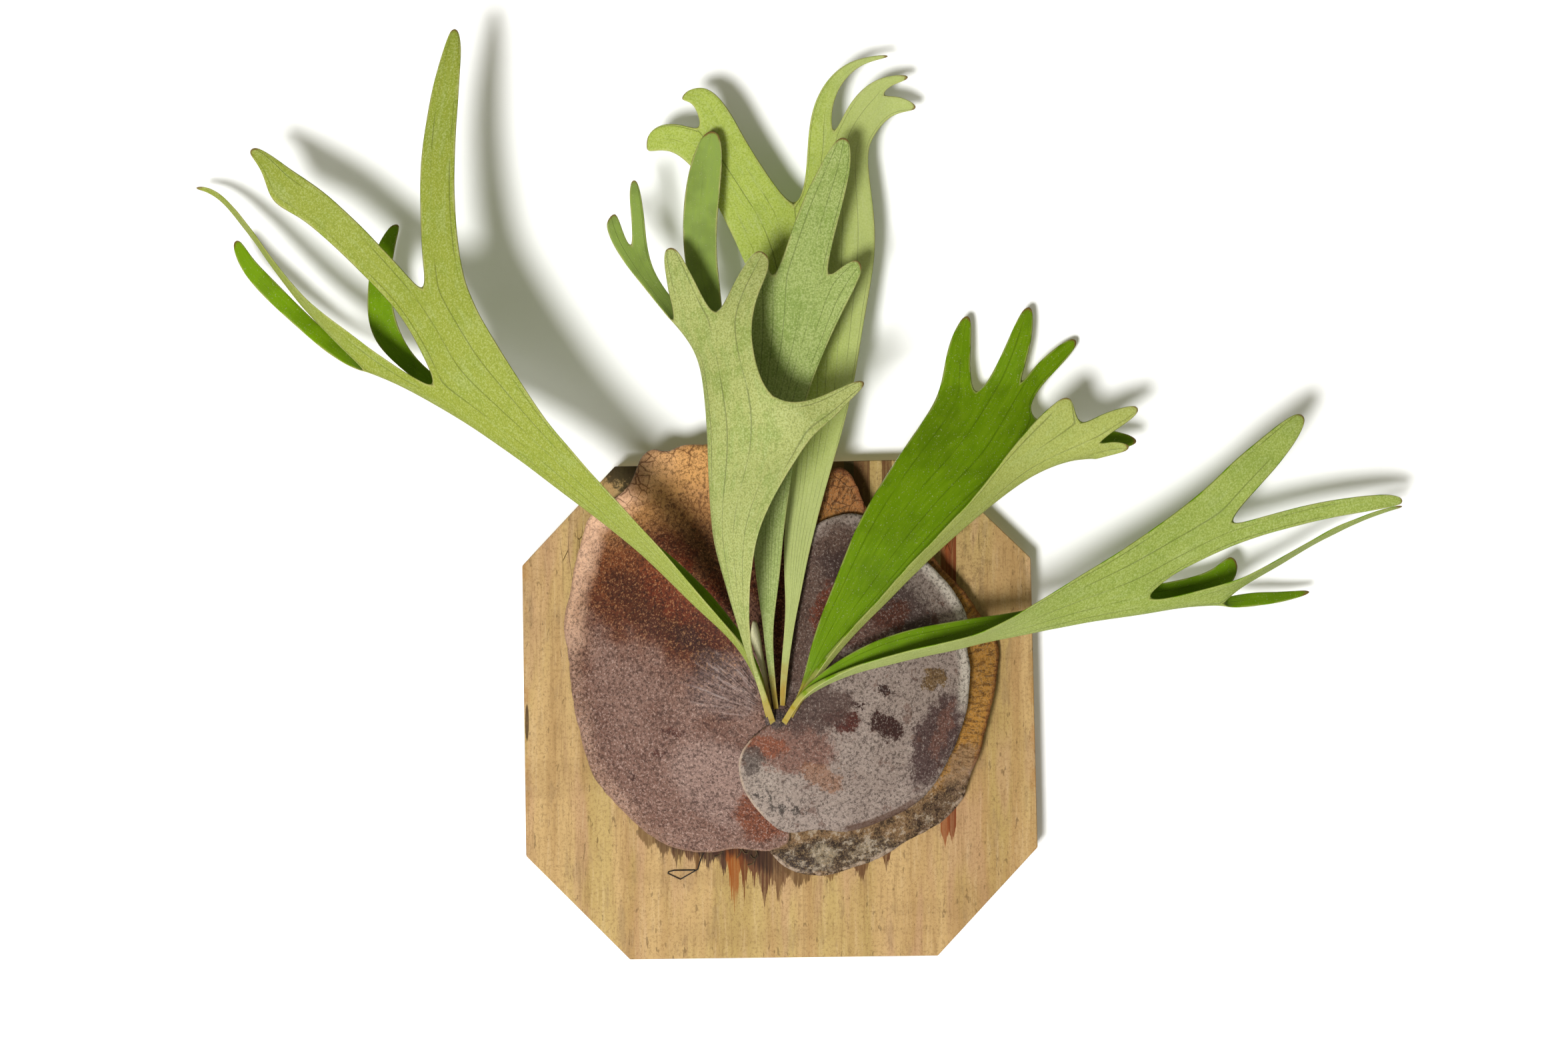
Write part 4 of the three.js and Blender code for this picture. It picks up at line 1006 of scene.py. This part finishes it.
BACK_FROND = strap(5, [
    [[0.2, -1.4, 36], [3, -1.4, 36]],
    [[0, 4, 46.2], [3.2, 4, 46.2]],
    [[0.4, 22, 47], [4.6, 22, 47]],
    [[3, 48.2, 46], [8.4, 48.2, 45.5]],
    [[3.5, 63.8, 44], [11.7, 63.8, 43.5]],
    [[2, 86.4, 41], [16, 86.4, 39.5]],
    [[3, 109.4, 36], [21.6, 109.4, 33]],
    [[6, 138, 31], [29.3, 138, 27]],
    [[2.5, 165, 25], [37.8, 165, 21]],
    [[-3, 196.4, 20], [45, 196.4, 15]],
    [[-8, 228, 18], [49, 228, 13]],
    [[-19.3, 258.8, 18], [-4, 276, 16], [9.6, 289, 14], [24, 289, 13], [42, 281, 11], [58.6, 270.5, 9]],
],
strap(2, [
    [[-34, 290.4, 18], [-7.4, 313, 17]],
    [[-46.8, 312.4, 18], [-20, 332.6, 17]],
    [[-58.6, 324, 16], [-45, 337.2, 17], [-27.7, 348, 17]],
],
strap(1, [
    [[-66.2, 327, 14], [-59, 343.4, 15]],
    [[-75, 326, 11], [-72.4, 342, 12]],
    [[-77.8, 326, 8], [-78.4, 334.6, 9]],
]),
strap(1, [
    [[-48.4, 350, 17], [-37, 360.6, 17]],
    [[-52.2, 355.4, 16], [-45.8, 364.8, 16]],
    [[-59, 356, 14], [-55, 362, 14]],
])),
strap(3, [
    [[15.6, 310, 12], [52.3, 309.5, 6]],
    [[16, 331, 11], [30.6, 332.6, 9], [40, 332, 7], [51.5, 327, 4]],
],
strap(1, [
    [[18, 348.6, 11], [30, 349.4, 10]],
    [[24.2, 364.4, 10], [33.9, 362.6, 9]],
    [[36, 377, 8], [42.4, 373.4, 7]],
    [[50, 381.8, 5], [52.2, 378.8, 4]],
    [[64, 383, 2], [64, 381, 1]],
]),
strap(2, [
    [[39, 352, 8], [54.2, 333.6, 4]],
    [[47, 362, 6], [58.8, 358, 4], [61, 343.6, 2]],
],
strap(1, [
    [[57.9, 370, 4], [64.4, 365, 3]],
    [[75.6, 371.8, 1], [76, 368, 0]],
]),
strap(1, [
    [[68.8, 359.4, 2], [69, 349, 1]],
    [[80, 354, 0], [80.4, 350, -1]],
]))))

RIGHT_FROND = strap(7, [
    [[5, -6.6, 35.5], [5, -6.6, 39]],
    [[6.4, -3.4, 45], [6.6, -3.4, 48.5]],
    [[12.4, 10.8, 48], [15.6, 10.8, 49.5], [14.4, 11.6, 52.5]],
    [[16.2, 29.4, 48.5], [29.8, 28.7, 49], [27.4, 31, 54]],
    [[22.8, 52, 48], [47.8, 47.2, 45], [45, 50.5, 51.5]],
    [[31.2, 71.6, 44], [66.8, 65.4, 42], [60.3, 66.5, 50]],
    [[40.6, 97.3, 40], [90.2, 88.8, 38], [75, 83.9, 50]],
    [[50, 117.6, 34], [109.8, 104.3, 33], [93, 101.6, 48]],
    [[66.3, 143.3, 22], [133, 124.4, 28], [114, 123.4, 45]],
    [[81, 165, 10], [155.4, 137, 24], [131.8, 147.6, 42]],
    [[93, 182.3, 2], [113.7, 179.4, 0], [139.6, 187.4, 0], [143.6, 166, 6], [180.6, 145, 20],
     [185, 154.2, 28], [176, 165.4, 32], [147, 167, 36]],
],
strap(1, [
    [[96.3, 201, -2], [111.2, 199.5, -3]],
    [[99, 215.4, -5], [112.2, 214, -6]],
    [[107, 230.8, -9], [112.4, 230.8, -9]],
]),
strap(1, [
    [[125.6, 198, -2], [144.7, 204, -3]],
    [[133.8, 216.8, -5], [148.4, 220, -6]],
    [[142.4, 236, -9], [148.6, 236, -9]],
]),
strap(1, [
    [[148, 200, -4], [147.6, 184, -2]],
    [[161, 211.4, -8], [166, 202, -8]],
    [[172, 218.4, -12], [175.6, 214, -12]],
]),
strap(1, [
    [[183.5, 166, 4], [196, 150.6, 13]],
    [[207.4, 160.6, 7], [211.4, 155.2, 8]],
]),
strap(1, [
    [[191.6, 148, 21], [193.8, 157.4, 26]],
    [[204.2, 150.6, 21], [205.6, 155, 22]],
]),
strap(1, [
    [[196, 163, 28], [187.2, 172.4, 30]],
    [[204.8, 168.2, 27], [200.6, 176.6, 28]],
    [[211, 174.4, 26], [208.8, 178, 26]],
]),
strap(1, [
    [[172.8, 173.8, 33], [158, 176.6, 36]],
    [[170.8, 182.6, 33], [165.2, 182.4, 34]],
]))

FAR_RIGHT_FROND = strap(5, [
    [[1.6, -9.8, 38], [1.6, -9.8, 42]],
    [[3.6, -6.4, 48], [3.6, -6.4, 51.5]],
    [[9.2, 2.9, 56], [9.2, 2.9, 60]],
    [[14.4, 12.2, 58.5], [16.4, 9.6, 61], [15.4, 11.1, 65]],
    [[26, 23.2, 59], [34.5, 18, 59], [33.6, 21, 66]],
    [[51, 38.8, 56], [59.5, 23.8, 56], [59.5, 30.6, 68]],
    [[77.8, 47.5, 50], [86.8, 30.3, 52], [96, 38.4, 69]],
    [[107, 52.2, 44], [117.2, 36.6, 48], [123.8, 46, 69]],
    [[142.5, 57.3, 34], [148.4, 42.8, 44], [145, 59, 66]],
    [[175.7, 64, 24], [183.5, 47.9, 36], [170, 74, 60]],
    [[214, 72, 14], [217.8, 62, 14], [213, 53.2, 28], [208, 60.3, 38], [207, 79.4, 46], [201.4, 93.8, 52]],
],
strap(1, [
    [[238, 76, 8], [243, 64, 7]],
    [[254.3, 81.2, 4], [264, 68.6, 3]],
    [[264, 92, 0], [269.6, 84, 0]],
]),
strap(2, [
    [[245.9, 62, 8], [254.8, 60.2, 18], [245.9, 68.8, 30]],
],
strap(1, [
    [[271.2, 68, 4], [270.1, 58.5, 10]],
    [[290.7, 68.3, 1], [290.7, 61.2, 5]],
    [[311, 70, -3], [311, 67, -2]],
]),
strap(1, [
    [[274, 73.2, 16], [272.6, 76.8, 32]],
    [[298.4, 88, 14], [297.2, 90.4, 27]],
    [[325.6, 103.4, 11], [325, 106, 20]],
    [[347.2, 114, 8], [346.6, 116, 14]],
    [[365.6, 117.3, 5], [365.6, 118.9, 9]],
])),
strap(2, [
    [[227, 77.4, 36], [231, 89.8, 42], [226.3, 111, 48]],
    [[258.2, 93, 33], [259.6, 105, 38], [250.3, 129.6, 44]],
],
strap(1, [
    [[285, 102.6, 30], [279, 112, 34]],
    [[312.2, 109.4, 26], [309, 119.6, 30]],
    [[339.5, 114.7, 22], [337.8, 124.6, 25]],
    [[356.7, 117.8, 19], [355.9, 126.2, 21]],
    [[365, 119.6, 17], [364.6, 123.8, 18]],
]),
strap(1, [
    [[275.6, 125.2, 38], [264.2, 144.6, 42]],
    [[290.4, 140, 36], [278.5, 155.6, 39]],
    [[302.8, 157, 33], [293.2, 168.2, 35]],
    [[309, 170.4, 30], [303.4, 174, 30]],
])))

YOUNG_FROND = strap(2, [
    [[-5.2, -1.4, 37], [-3.4, -1.4, 37]],
    [[-6.8, 3.6, 45.6], [-5, 3.6, 45.6]],
    [[-9.4, 18.5, 46], [-7, 18.5, 46.5]],
    [[-11.8, 27, 47], [-9.4, 27, 48]],
    [[-13.6, 33.4, 47], [-10.6, 33.8, 49]],
    [[-17.4, 40.4, 47], [-11, 40.4, 49.4]],
    [[-16.8, 46.6, 48], [-12.4, 46.6, 50]],
    [[-15.8, 52, 49], [-14, 52, 50]],
])

# Each frond: its solid, its blade, the column that it folds at, whether its first face is its underside, the
# screen colours of its underside and upper face, how far its green shows through the felt, how far the felt
# pales towards its foot, partly painted light that offsets the shade other fronds throw on it, and how far
# it pales on its right side.
FRONDS = [
    ("frond_left", LEFT_FROND, 2, True, (152, 163, 56), (116, 155, 4), 0.3, 0.1, 0.0),
    ("frond_front", FRONT_FROND, 3, True, (176, 183, 106), (140, 163, 78), 0.75, 0.1, 0.0),
    ("frond_middle", MIDDLE_FROND, None, True, (162, 180, 98), (112, 140, 30), 0.7, 0.15, 0.0),
    ("frond_back", BACK_FROND, None, True, (176, 193, 80), (112, 140, 24), 0.35, 0.55, 0.45),
    ("frond_right", RIGHT_FROND, 4, False, (176, 184, 94), (104, 140, 0), 0.3, 0.0, 0.0),
    ("frond_far_right", FAR_RIGHT_FROND, 2, False, (158, 175, 80), (112, 150, 14), 0.4, 0.3, 0.0),
]
# The young frond's cream felt, painted nearly white to offset the shade that the fronds over it throw.
YOUNG_FELT_WITH_PAINTED_LIGHT = (240, 234, 190)


# ---- dry shields and root mass --------------------------------------------------------------------------

DOME = {"height": 38 * MM, "centre_z": 8 * MM, "half_width": 132 * MM, "below": 112 * MM, "above": 142 * MM}
FOLD = {"place": Vector((-57, 88)) * MM, "slope": Vector((-0.76, 0.65)), "half_length": 46 * MM}
# Swells: how high each is, where its middle is and how wide it spreads.
FOLD_CREST = (7 * MM, -4 * MM, 8 * MM)
FOLD_HOLLOW = (8 * MM, 18 * MM, 13 * MM)
VALLEY = (9 * MM, 2 * MM, 9.5 * MM)
SHIELD_HOLE = 7 * MM  # the radius left open round the crown
SHIELD_COLUMNS, SHIELD_RINGS = 52, 12


def swell(place, height, middle, width):
    return height * bump(place - middle, width)


def dome_height(x, z):
    """How far the root mass stands off the board: a dome with a fold raised across its upper left, a hollow
    behind it, and a valley that the fronds rise through."""
    rise = z - DOME["centre_z"]
    out = (x / DOME["half_width"]) ** 2 + (rise / (DOME["below"] if rise < 0 else DOME["above"])) ** 2
    dome = DOME["height"] * max(0.0, 1 - out) ** 0.8
    away, slope = Vector((x, z)) - FOLD["place"], FOLD["slope"]
    along, across = away.dot(slope), away.x * slope.y - away.y * slope.x
    fold = bump(along, FOLD["half_length"]) * (swell(across, *FOLD_CREST) - swell(across, *FOLD_HOLLOW))
    valley = swell(x, *VALLEY) * smoothstep(z, -6 * MM, 12 * MM)
    return max(0.0, dome + (fold - valley) * smoothstep(1 - out, 0, 0.3))


def over_dome(x, z, lift):
    """The place over the dome that lines up with (x, z), lifted off the dome square to its surface."""
    step = 0.5 * MM

    def outward(u, w):
        return Vector((
            (dome_height(u - step, w) - dome_height(u + step, w)) / (2 * step),
            (dome_height(u, w - step) - dome_height(u, w + step)) / (2 * step),
            1,
        )).normalized()

    lean = outward(x, z)
    foot = Vector((x - lift * lean.x, z - lift * lean.y))
    out = outward(foot.x, foot.y)
    return at(foot.x + lift * out.x, foot.y + lift * out.y, dome_height(foot.x, foot.y) + lift * out.z)


def evenly(outline, count):
    """Points at equal steps along a smooth line through the outline, which is in millimetres."""
    points = [Vector(point) * MM for point in outline]
    fine = []
    for index in range(len(points) - 1):
        near = (max(0, min(len(points) - 1, index + step)) for step in (-1, 0, 1, 2))
        before, start, end, after = (points[number] for number in near)
        for part in range(12):
            t = part / 12
            squared = (2 * before - 5 * start + 4 * end - after) * t * t
            cubed = (3 * start - before - 3 * end + after) * t ** 3
            fine.append(0.5 * (2 * start + (end - before) * t + squared + cubed))
    fine.append(points[-1])
    lengths = [0.0]
    for a, b in zip(fine, fine[1:]):
        lengths.append(lengths[-1] + (b - a).length)
    line, index = [], 0
    for step in range(count + 1):
        wanted = lengths[-1] * step / count
        while index < len(lengths) - 2 and lengths[index + 1] < wanted:
            index += 1
        share = (wanted - lengths[index]) / (lengths[index + 1] - lengths[index])
        line.append(fine[index].lerp(fine[index + 1], share))
    return line


def shield(name, outline, layer, ripples, flare):
    """A dry shield: a sheet grown ring by ring from the crown to its outline, laid over the dome on its
    layer. Its margin ripples that many times in a full turn, and flare(x, z) lifts parts of it further."""
    margin = evenly(outline, SHIELD_COLUMNS)
    bud = Vector((BUD.x, BUD.z))
    sheet = Sheet(name, SHIELD_COLUMNS)
    row = None
    for ring in range(SHIELD_RINGS + 1):
        share = (ring / SHIELD_RINGS) ** 0.9
        places, marks = [], []
        for column, edge in enumerate(margin):
            away = edge - bud
            spot = (bud + away.normalized() * SHIELD_HOLE).lerp(edge, share)
            bearing = math.atan2(away.y, away.x)
            ripple = 0.6 * MM * (1 + math.sin(ripples * bearing)) * share ** 8
            places.append(over_dome(spot.x, spot.y, layer + ripple + flare(spot.x, spot.y)))
            marks.append((column / SHIELD_COLUMNS, share * away.length, share))
        row = sheet.first if ring == 0 else sheet.second if ring == 1 else sheet.extrude(row)
        sheet.move(row, places, marks)
    piece = sheet.done()
    subdivide(piece, bpy.context.scene.fern_sizes.detail)
    mark_rim(piece)
    return piece


def weather(piece, faces, gnaw):
    """Crumples a shield by the same waves wherever it lies, so that shields over each other stay clear,
    curls its free margin, gnaws that as much as asked, and walls the sheet."""
    rim, ring = values_of(piece, "rim"), values_of(piece, "tip")
    bud = at(BUD.x, BUD.z, 40 * MM)
    for point in piece.data.vertices:
        bitten = waves(point.co, (260, 0.9), (700, 0.5))
        edge = smoothstep(rim[point.index], 1.6 * MM, 0) * smoothstep(ring[point.index], 0.8, 1)
        point.co += (bud - point.co).normalized() * max(0.0, bitten) * edge * gnaw

    outward = facing(piece)
    if outward < 0:
        faces = tuple(reversed(faces))

    def crumple(index, place):
        near_rim = smoothstep(rim[index], 14 * MM, 0) * smoothstep(ring[index], 0.6, 1)
        broad = waves(place, (30, 0.7), (85, 0.35)) * smoothstep(ring[index], 0.1, 0.4)
        curl = (0.5 + noise.noise(place * 70)) * 0.8 * MM * near_rim
        return (broad + curl + waves(place, (240, 0.14))) * outward

    push(piece, crumple)
    thicken(piece, bpy.context.scene.fern_sizes.shield, faces)
    return piece


def facing(piece):
    """1 where the sheet's normals point at the room, -1 where they point at the wall."""
    return 1 if sum(face.normal.y for face in piece.data.polygons) < 0 else -1


OLD_SHIELD = [
    (24, 134), (31, 141), (37, 143.5), (45.8, 131.2), (50.1, 117.2), (66.5, 105), (86, 93), (96.1, 80),
    (108.6, 68.1), (117.6, 53), (128.1, 38), (125.8, 13.8), (118.8, -18.1), (116.6, -27.5), (111, -38.8),
    (108.6, -48.9), (100.4, -60.6), (89.1, -69.6), (75.6, -75.5), (66.1, -82.1), (53.6, -89.1), (38.8, -93.8),
    (21.6, -97.7), (9.6, -95), (-0.2, -90.3), (-8, -81), (-30, -66),
]
LEFT_SHIELD = [
    (11, 106), (4, 126), (-10, 142), (-24, 151), (-37, 157), (-47, 152.3), (-53.2, 156.4), (-60.6, 153.2),
    (-64.6, 149.2), (-70, 151.8), (-77, 153.2), (-82, 147), (-84.4, 138), (-87.6, 131.2), (-97, 122.6),
    (-112.4, 112.5), (-115.4, 98.9), (-119.5, 85.2), (-123, 63.4), (-126.4, 49.7), (-122.7, 27),
    (-121.1, 6.4), (-116, -16.6), (-110.6, -35.3), (-103.2, -47.8), (-80, -71), (-59.1, -82.1),
    (-37.2, -83.8), (-25.8, -80.9), (-5.7, -83.4), (6, -78),
]
RIGHT_SHIELD = [
    (15, 98), (20.5, 107.4), (37.6, 114.2), (49, 113), (66.5, 102.8), (85.6, 86.4), (101.6, 69.2),
    (109.8, 52.1), (109, 34.5), (111.4, 25.2), (109, -2.1), (98.5, -29.4), (84.4, -51.3), (61.8, -64.9),
    (38.8, -72.3), (28, -70.4), (17, -70.8), (5.7, -72.7), (-3.3, -69), (-18.5, -52.1), (-23.4, -41),
    (-24.4, -32.2), (-22.8, -24.8), (-17.6, -17.4), (-11.4, -13.2),
]


def old_flare(x, z):
    return 7 * MM * smoothstep(z, 100 * MM, 140 * MM)


def left_flare(x, z):
    return 13 * MM * smoothstep(z, 98 * MM, 150 * MM) * smoothstep(-x, -5 * MM, 20 * MM)


def right_flare(x, z):
    return 4 * MM * bump(x - 17 * MM, 5 * MM) * bump(z - 44 * MM, 18 * MM)


# Each shield, the oldest first: its first name, its outline, how far it lies off the dome, its ripples in a
# full turn, its flare, the paint for its front, and how much its margin is gnawed.
SHIELDS = [
    ("old", OLD_SHIELD, 1.2 * MM, 17, old_flare, old_shield_skin, 1),
    ("left", LEFT_SHIELD, 3.55 * MM, 14, left_flare, left_shield_skin, 1),
    ("right", RIGHT_SHIELD, 5.9 * MM, 11, right_flare, right_shield_skin, 0.4),
]


# ---- operators ------------------------------------------------------------------------------------------


class FERN_OT_board(bpy.types.Operator):
    """Saw the octagonal board, with its edges rubbed round"""
    bl_idname = "fern.board"
    bl_label = "Board"

    CORNERS = [(-96.5, 141.8), (86.4, 146.1), (146.8, 88.3), (150.9, -81.1),
               (92.5, -144.6), (-87.6, -146.8), (-148.4, -86.2), (-150.7, 83.7)]

    def execute(self, context):
        deselect()
        bpy.ops.mesh.primitive_circle_add(vertices=len(self.CORNERS), fill_type="NGON")
        piece = named("mounting_board")
        for point, (x, z) in zip(piece.data.vertices, self.CORNERS):
            point.co = (x * MM, 0, z * MM)
        bpy.ops.object.mode_set(mode="EDIT")
        bpy.ops.mesh.select_all(action="SELECT")
        bpy.ops.mesh.extrude_region_move(TRANSFORM_OT_translate={"value": (0, -BOARD_THICKNESS, 0)})
        bpy.ops.mesh.select_all(action="SELECT")
        bpy.ops.mesh.normals_make_consistent(inside=False)
        worn = context.scene.fern_sizes.worn_edge
        bpy.ops.mesh.bevel(offset=worn, segments=3, profile=0.6, affect="EDGES")
        bpy.ops.object.mode_set(mode="OBJECT")
        settle(piece, "board", "wood", board_wood())
        bpy.ops.object.shade_smooth_by_angle(angle=math.radians(30))
        return {"FINISHED"}


STRAND_CLEARANCE = 0.3 * MM  # between a strand and the board under it


def strand(name, bends, radius, handles):
    """A thin tube that lies on the board and passes those points, given in millimetres."""
    deselect()
    bpy.ops.curve.primitive_bezier_curve_add()
    curve = named(name)
    points = curve.data.splines[0].bezier_points
    points.add(len(bends) - len(points))
    for point, (x, z) in zip(points, bends):
        point.co = at(x * MM, z * MM, radius + STRAND_CLEARANCE)
        point.handle_left_type = point.handle_right_type = handles
    curve.data.bevel_depth, curve.data.bevel_resolution, curve.data.resolution_u = radius, 4, 4
    curve.data.use_fill_caps = True
    bpy.ops.object.convert(target="MESH")
    return curve


class FERN_OT_roots(bpy.types.Operator):
    """Pack the moss and roots under the shields"""
    bl_idname = "fern.roots"
    bl_label = "Moss and roots"

    ROOTLETS = [
        [(-22.4, -78), (-22.4, -82.1), (-23.2, -84.6), (-25, -87.2)],
        [(-24, -80), (-22.4, -82.1), (-19.3, -84.8), (-17.6, -82.5), (-13.6, -83.5), (-13.1, -86.4),
         (-15.4, -87.4), (-17.1, -85.6)],
        [(-12.6, -79), (-13.6, -84), (-15.8, -90.5), (-18.9, -91.5)],
        [(-33, -80), (-34.6, -85), (-38.4, -86.6)],
    ]
    ROOTLET_RADIUS = 0.32 * MM
    LUMP_HEIGHT = 1.1 * MM
    FLAT_RIM = 1.5 * MM  # as far off the board as this, the mass stays as it was packed

    def execute(self, context):
        deselect()
        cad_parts["root_ball"].select_set(True)
        context.view_layer.objects.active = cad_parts["root_ball"]
        bpy.ops.object.duplicate()
        piece = named("moss_and_roots")
        for key in [key for key in piece.keys() if key.startswith("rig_")]:
            del piece[key]
        piece.parent = None
        bpy.ops.object.mode_set(mode="EDIT")
        bpy.ops.mesh.select_all(action="SELECT")
        bpy.ops.mesh.remove_doubles(threshold=0.01 * MM)
        bpy.ops.mesh.subdivide(number_cuts=3)
        bpy.ops.object.mode_set(mode="OBJECT")
        flat = BOARD_THICKNESS + self.FLAT_RIM

        def sink(index, place):
            lumps = 0.7 + noise.fractal(place * 140, 0.9, 2.2, 3)
            return -smoothstep(-place.y, flat, flat + 4 * MM) * lumps * self.LUMP_HEIGHT

        push(piece, sink)
        piece.data.materials.clear()
        threads = [strand("rootlet", bends, self.ROOTLET_RADIUS, "AUTO") for bends in self.ROOTLETS]
        deselect()
        for part in (*threads, piece):
            part.select_set(True)
        context.view_layer.objects.active = piece
        bpy.ops.object.join()
        settle(piece, "root_ball", "roots", moss_and_roots())
        return {"FINISHED"}


class FERN_OT_shields(bpy.types.Operator):
    """Lay the three dry shields over the roots, the oldest first"""
    bl_idname = "fern.shields"
    bl_label = "Dry shields"

    def execute(self, context):
        back = shield_back()
        for name, outline, layer, ripples, flare, skin, gnaw in SHIELDS:
            sheet = shield(name + "_dry_shield", outline, layer, ripples, flare)
            settle(weather(sheet, (skin(), back), gnaw), name + "_shield", name + "_shield")
        return {"FINISHED"}


class FERN_OT_crown(bpy.types.Operator):
    """Round the growing tip into a scaly mound that closes over the shields' inner edges"""
    bl_idname = "fern.crown"
    bl_label = "Crown"

    RADIUS, DEPTH, CENTRE = 9.6 * MM, 6.8 * MM, 39.5 * MM

    def execute(self, context):
        deselect()
        bpy.ops.mesh.primitive_uv_sphere_add(segments=48, ring_count=32, radius=1)
        piece = named("bud_mound")
        for point in piece.data.vertices:
            x, y, z = point.co
            point.co = at(BUD.x + x * self.RADIUS, BUD.z + z * self.RADIUS, self.CENTRE - y * self.DEPTH)
        subdivide(piece, 1)
        push(piece, lambda index, place: waves(place, (260, 0.7), (800, 0.25)))
        settle(piece, "crown", "crown", bud_scales())
        return {"FINISHED"}


class FERN_OT_fronds(bpy.types.Operator):
    """Grow the six forked fronds and the young one"""
    bl_idname = "fern.fronds"
    bl_label = "Fronds"

    def execute(self, context):
        for node, blade, fold, under_first, felted, green, mottle, foot, side in FRONDS:
            name = node.replace("frond_", "leaf_")
            under = underside(name + "_underside", linear(*felted), mottle, foot, side)
            upper = upper_face(name + "_upper", linear(*green))
            faces = (under, upper) if under_first else (upper, under)
            settle(frond(name, blade, fold, faces), node, "frond")
        young = underside("young_leaf_felt", linear(*YOUNG_FELT_WITH_PAINTED_LIGHT), 0.1)
        settle(frond("young_leaf", YOUNG_FROND, None, (young, young)), "young_frond", "frond")
        return {"FINISHED"}


class FERN_OT_wire(bpy.types.Operator):
    """Bend the end of the tie wire"""
    bl_idname = "fern.wire"
    bl_label = "Tie wire"

    BENDS = [(-42.4, -80.6), (-44.2, -83.8), (-46.2, -87.9), (-48, -94), (-58.1, -99.8), (-65.4, -96.4),
             (-65.2, -95.5), (-61.8, -94.6), (-49.6, -94.4)]

    def execute(self, context):
        radius = context.scene.fern_sizes.wire
        settle(strand("tie_wire_end", self.BENDS, radius, "VECTOR"), "tie_wire", "wire", dark_wire())
        return {"FINISHED"}


class FERN_OT_stage(bpy.types.Operator):
    """Set up the pale wall, the soft light and the camera"""
    bl_idname = "fern.stage"
    bl_label = "Stage"

    PLANE_SIZE = 12
    WALL_PLACE = (0, 1.5 * MM, 3.4)
    FLOOR_PLACE = (0, -5.9, -2.6)
    LIGHTS = {"key": ((-1.6, -5.2, -1.6), 1.35), "back": ((-1.4, 3.2, 1.6), 1.4)}  # their places and sizes
    LIT_SPOT = Vector((0.02, 0, 0.1))
    AIR_COLOUR = (1, 0.96, 0.72, 1)
    SENSOR_WIDTH = 36
    UPRIGHT = (math.pi / 2, 0, 0)  # a wall's turn, and that of a camera that looks straight ahead

    def plane(self, name, place, material, turn=(0, 0, 0)):
        bpy.ops.mesh.primitive_plane_add(size=self.PLANE_SIZE, location=place, rotation=turn)
        bpy.ops.object.transform_apply()
        made = named(name)
        made.data.materials.append(material)
        return made

    def execute(self, context):
        scene, settings = context.scene, context.scene.fern_stage
        deselect()
        pale = backdrop()
        wall = self.plane("wall", self.WALL_PLACE, pale, self.UPRIGHT)
        wall.visible_shadow = wall.visible_diffuse = False
        floor = self.plane("floor", self.FLOOR_PLACE, pale)

        for name, (place, size) in self.LIGHTS.items():
            bpy.ops.object.light_add(type="AREA", location=place)
            light = named(name + "_light")
            light.data.shape, light.data.size, light.data.energy = "DISK", size, getattr(settings, name)
            light.rotation_euler = (self.LIT_SPOT - light.location).to_track_quat("-Z", "Y").to_euler()

        world = bpy.data.worlds.new("air")
        world.use_nodes = True
        sky = world.node_tree.nodes["Background"].inputs
        sky["Strength"].default_value, sky["Color"].default_value = settings.air, self.AIR_COLOUR
        scene.world = world
        scene.view_settings.view_transform = "Standard"

        eye = (VIEW.x, -BOARD_THICKNESS - VIEW_DISTANCE, VIEW.z)
        bpy.ops.object.camera_add(location=eye, rotation=self.UPRIGHT)
        camera = named("camera")
        camera.data.sensor_fit, camera.data.sensor_width = "HORIZONTAL", self.SENSOR_WIDTH
        camera.data.lens = settings.lens
        scene.camera = camera
        return {"FINISHED"}


STEPS = (FERN_OT_stage, FERN_OT_board, FERN_OT_roots, FERN_OT_shields, FERN_OT_crown, FERN_OT_fronds,
         FERN_OT_wire)


class FERN_PT_panel(bpy.types.Panel):
    """The fern's pieces, in the order that they are built"""
    bl_idname = "FERN_PT_panel"
    bl_label = "Staghorn Fern"
    bl_space_type = "VIEW_3D"
    bl_region_type = "UI"
    bl_category = "Fern"

    def draw(self, context):
        for step in STEPS:
            self.layout.operator(step.bl_idname)
        for group, kind in GROUPS.items():
            box = self.layout.box()
            for name in kind.__annotations__:
                box.prop(getattr(context.scene, group), name)


CLASSES = (*GROUPS.values(), *STEPS, FERN_PT_panel)


def register():
    for made in CLASSES:
        bpy.utils.register_class(made)
    for group, kind in GROUPS.items():
        setattr(bpy.types.Scene, group, PointerProperty(type=kind))


def unregister():
    for group in GROUPS:
        delattr(bpy.types.Scene, group)
    for made in reversed(CLASSES):
        bpy.utils.unregister_class(made)


def main():
    register()
    for step in STEPS:
        family, name = step.bl_idname.split(".")
        getattr(getattr(bpy.ops, family), name)()


if __name__ == "__main__":
    main()
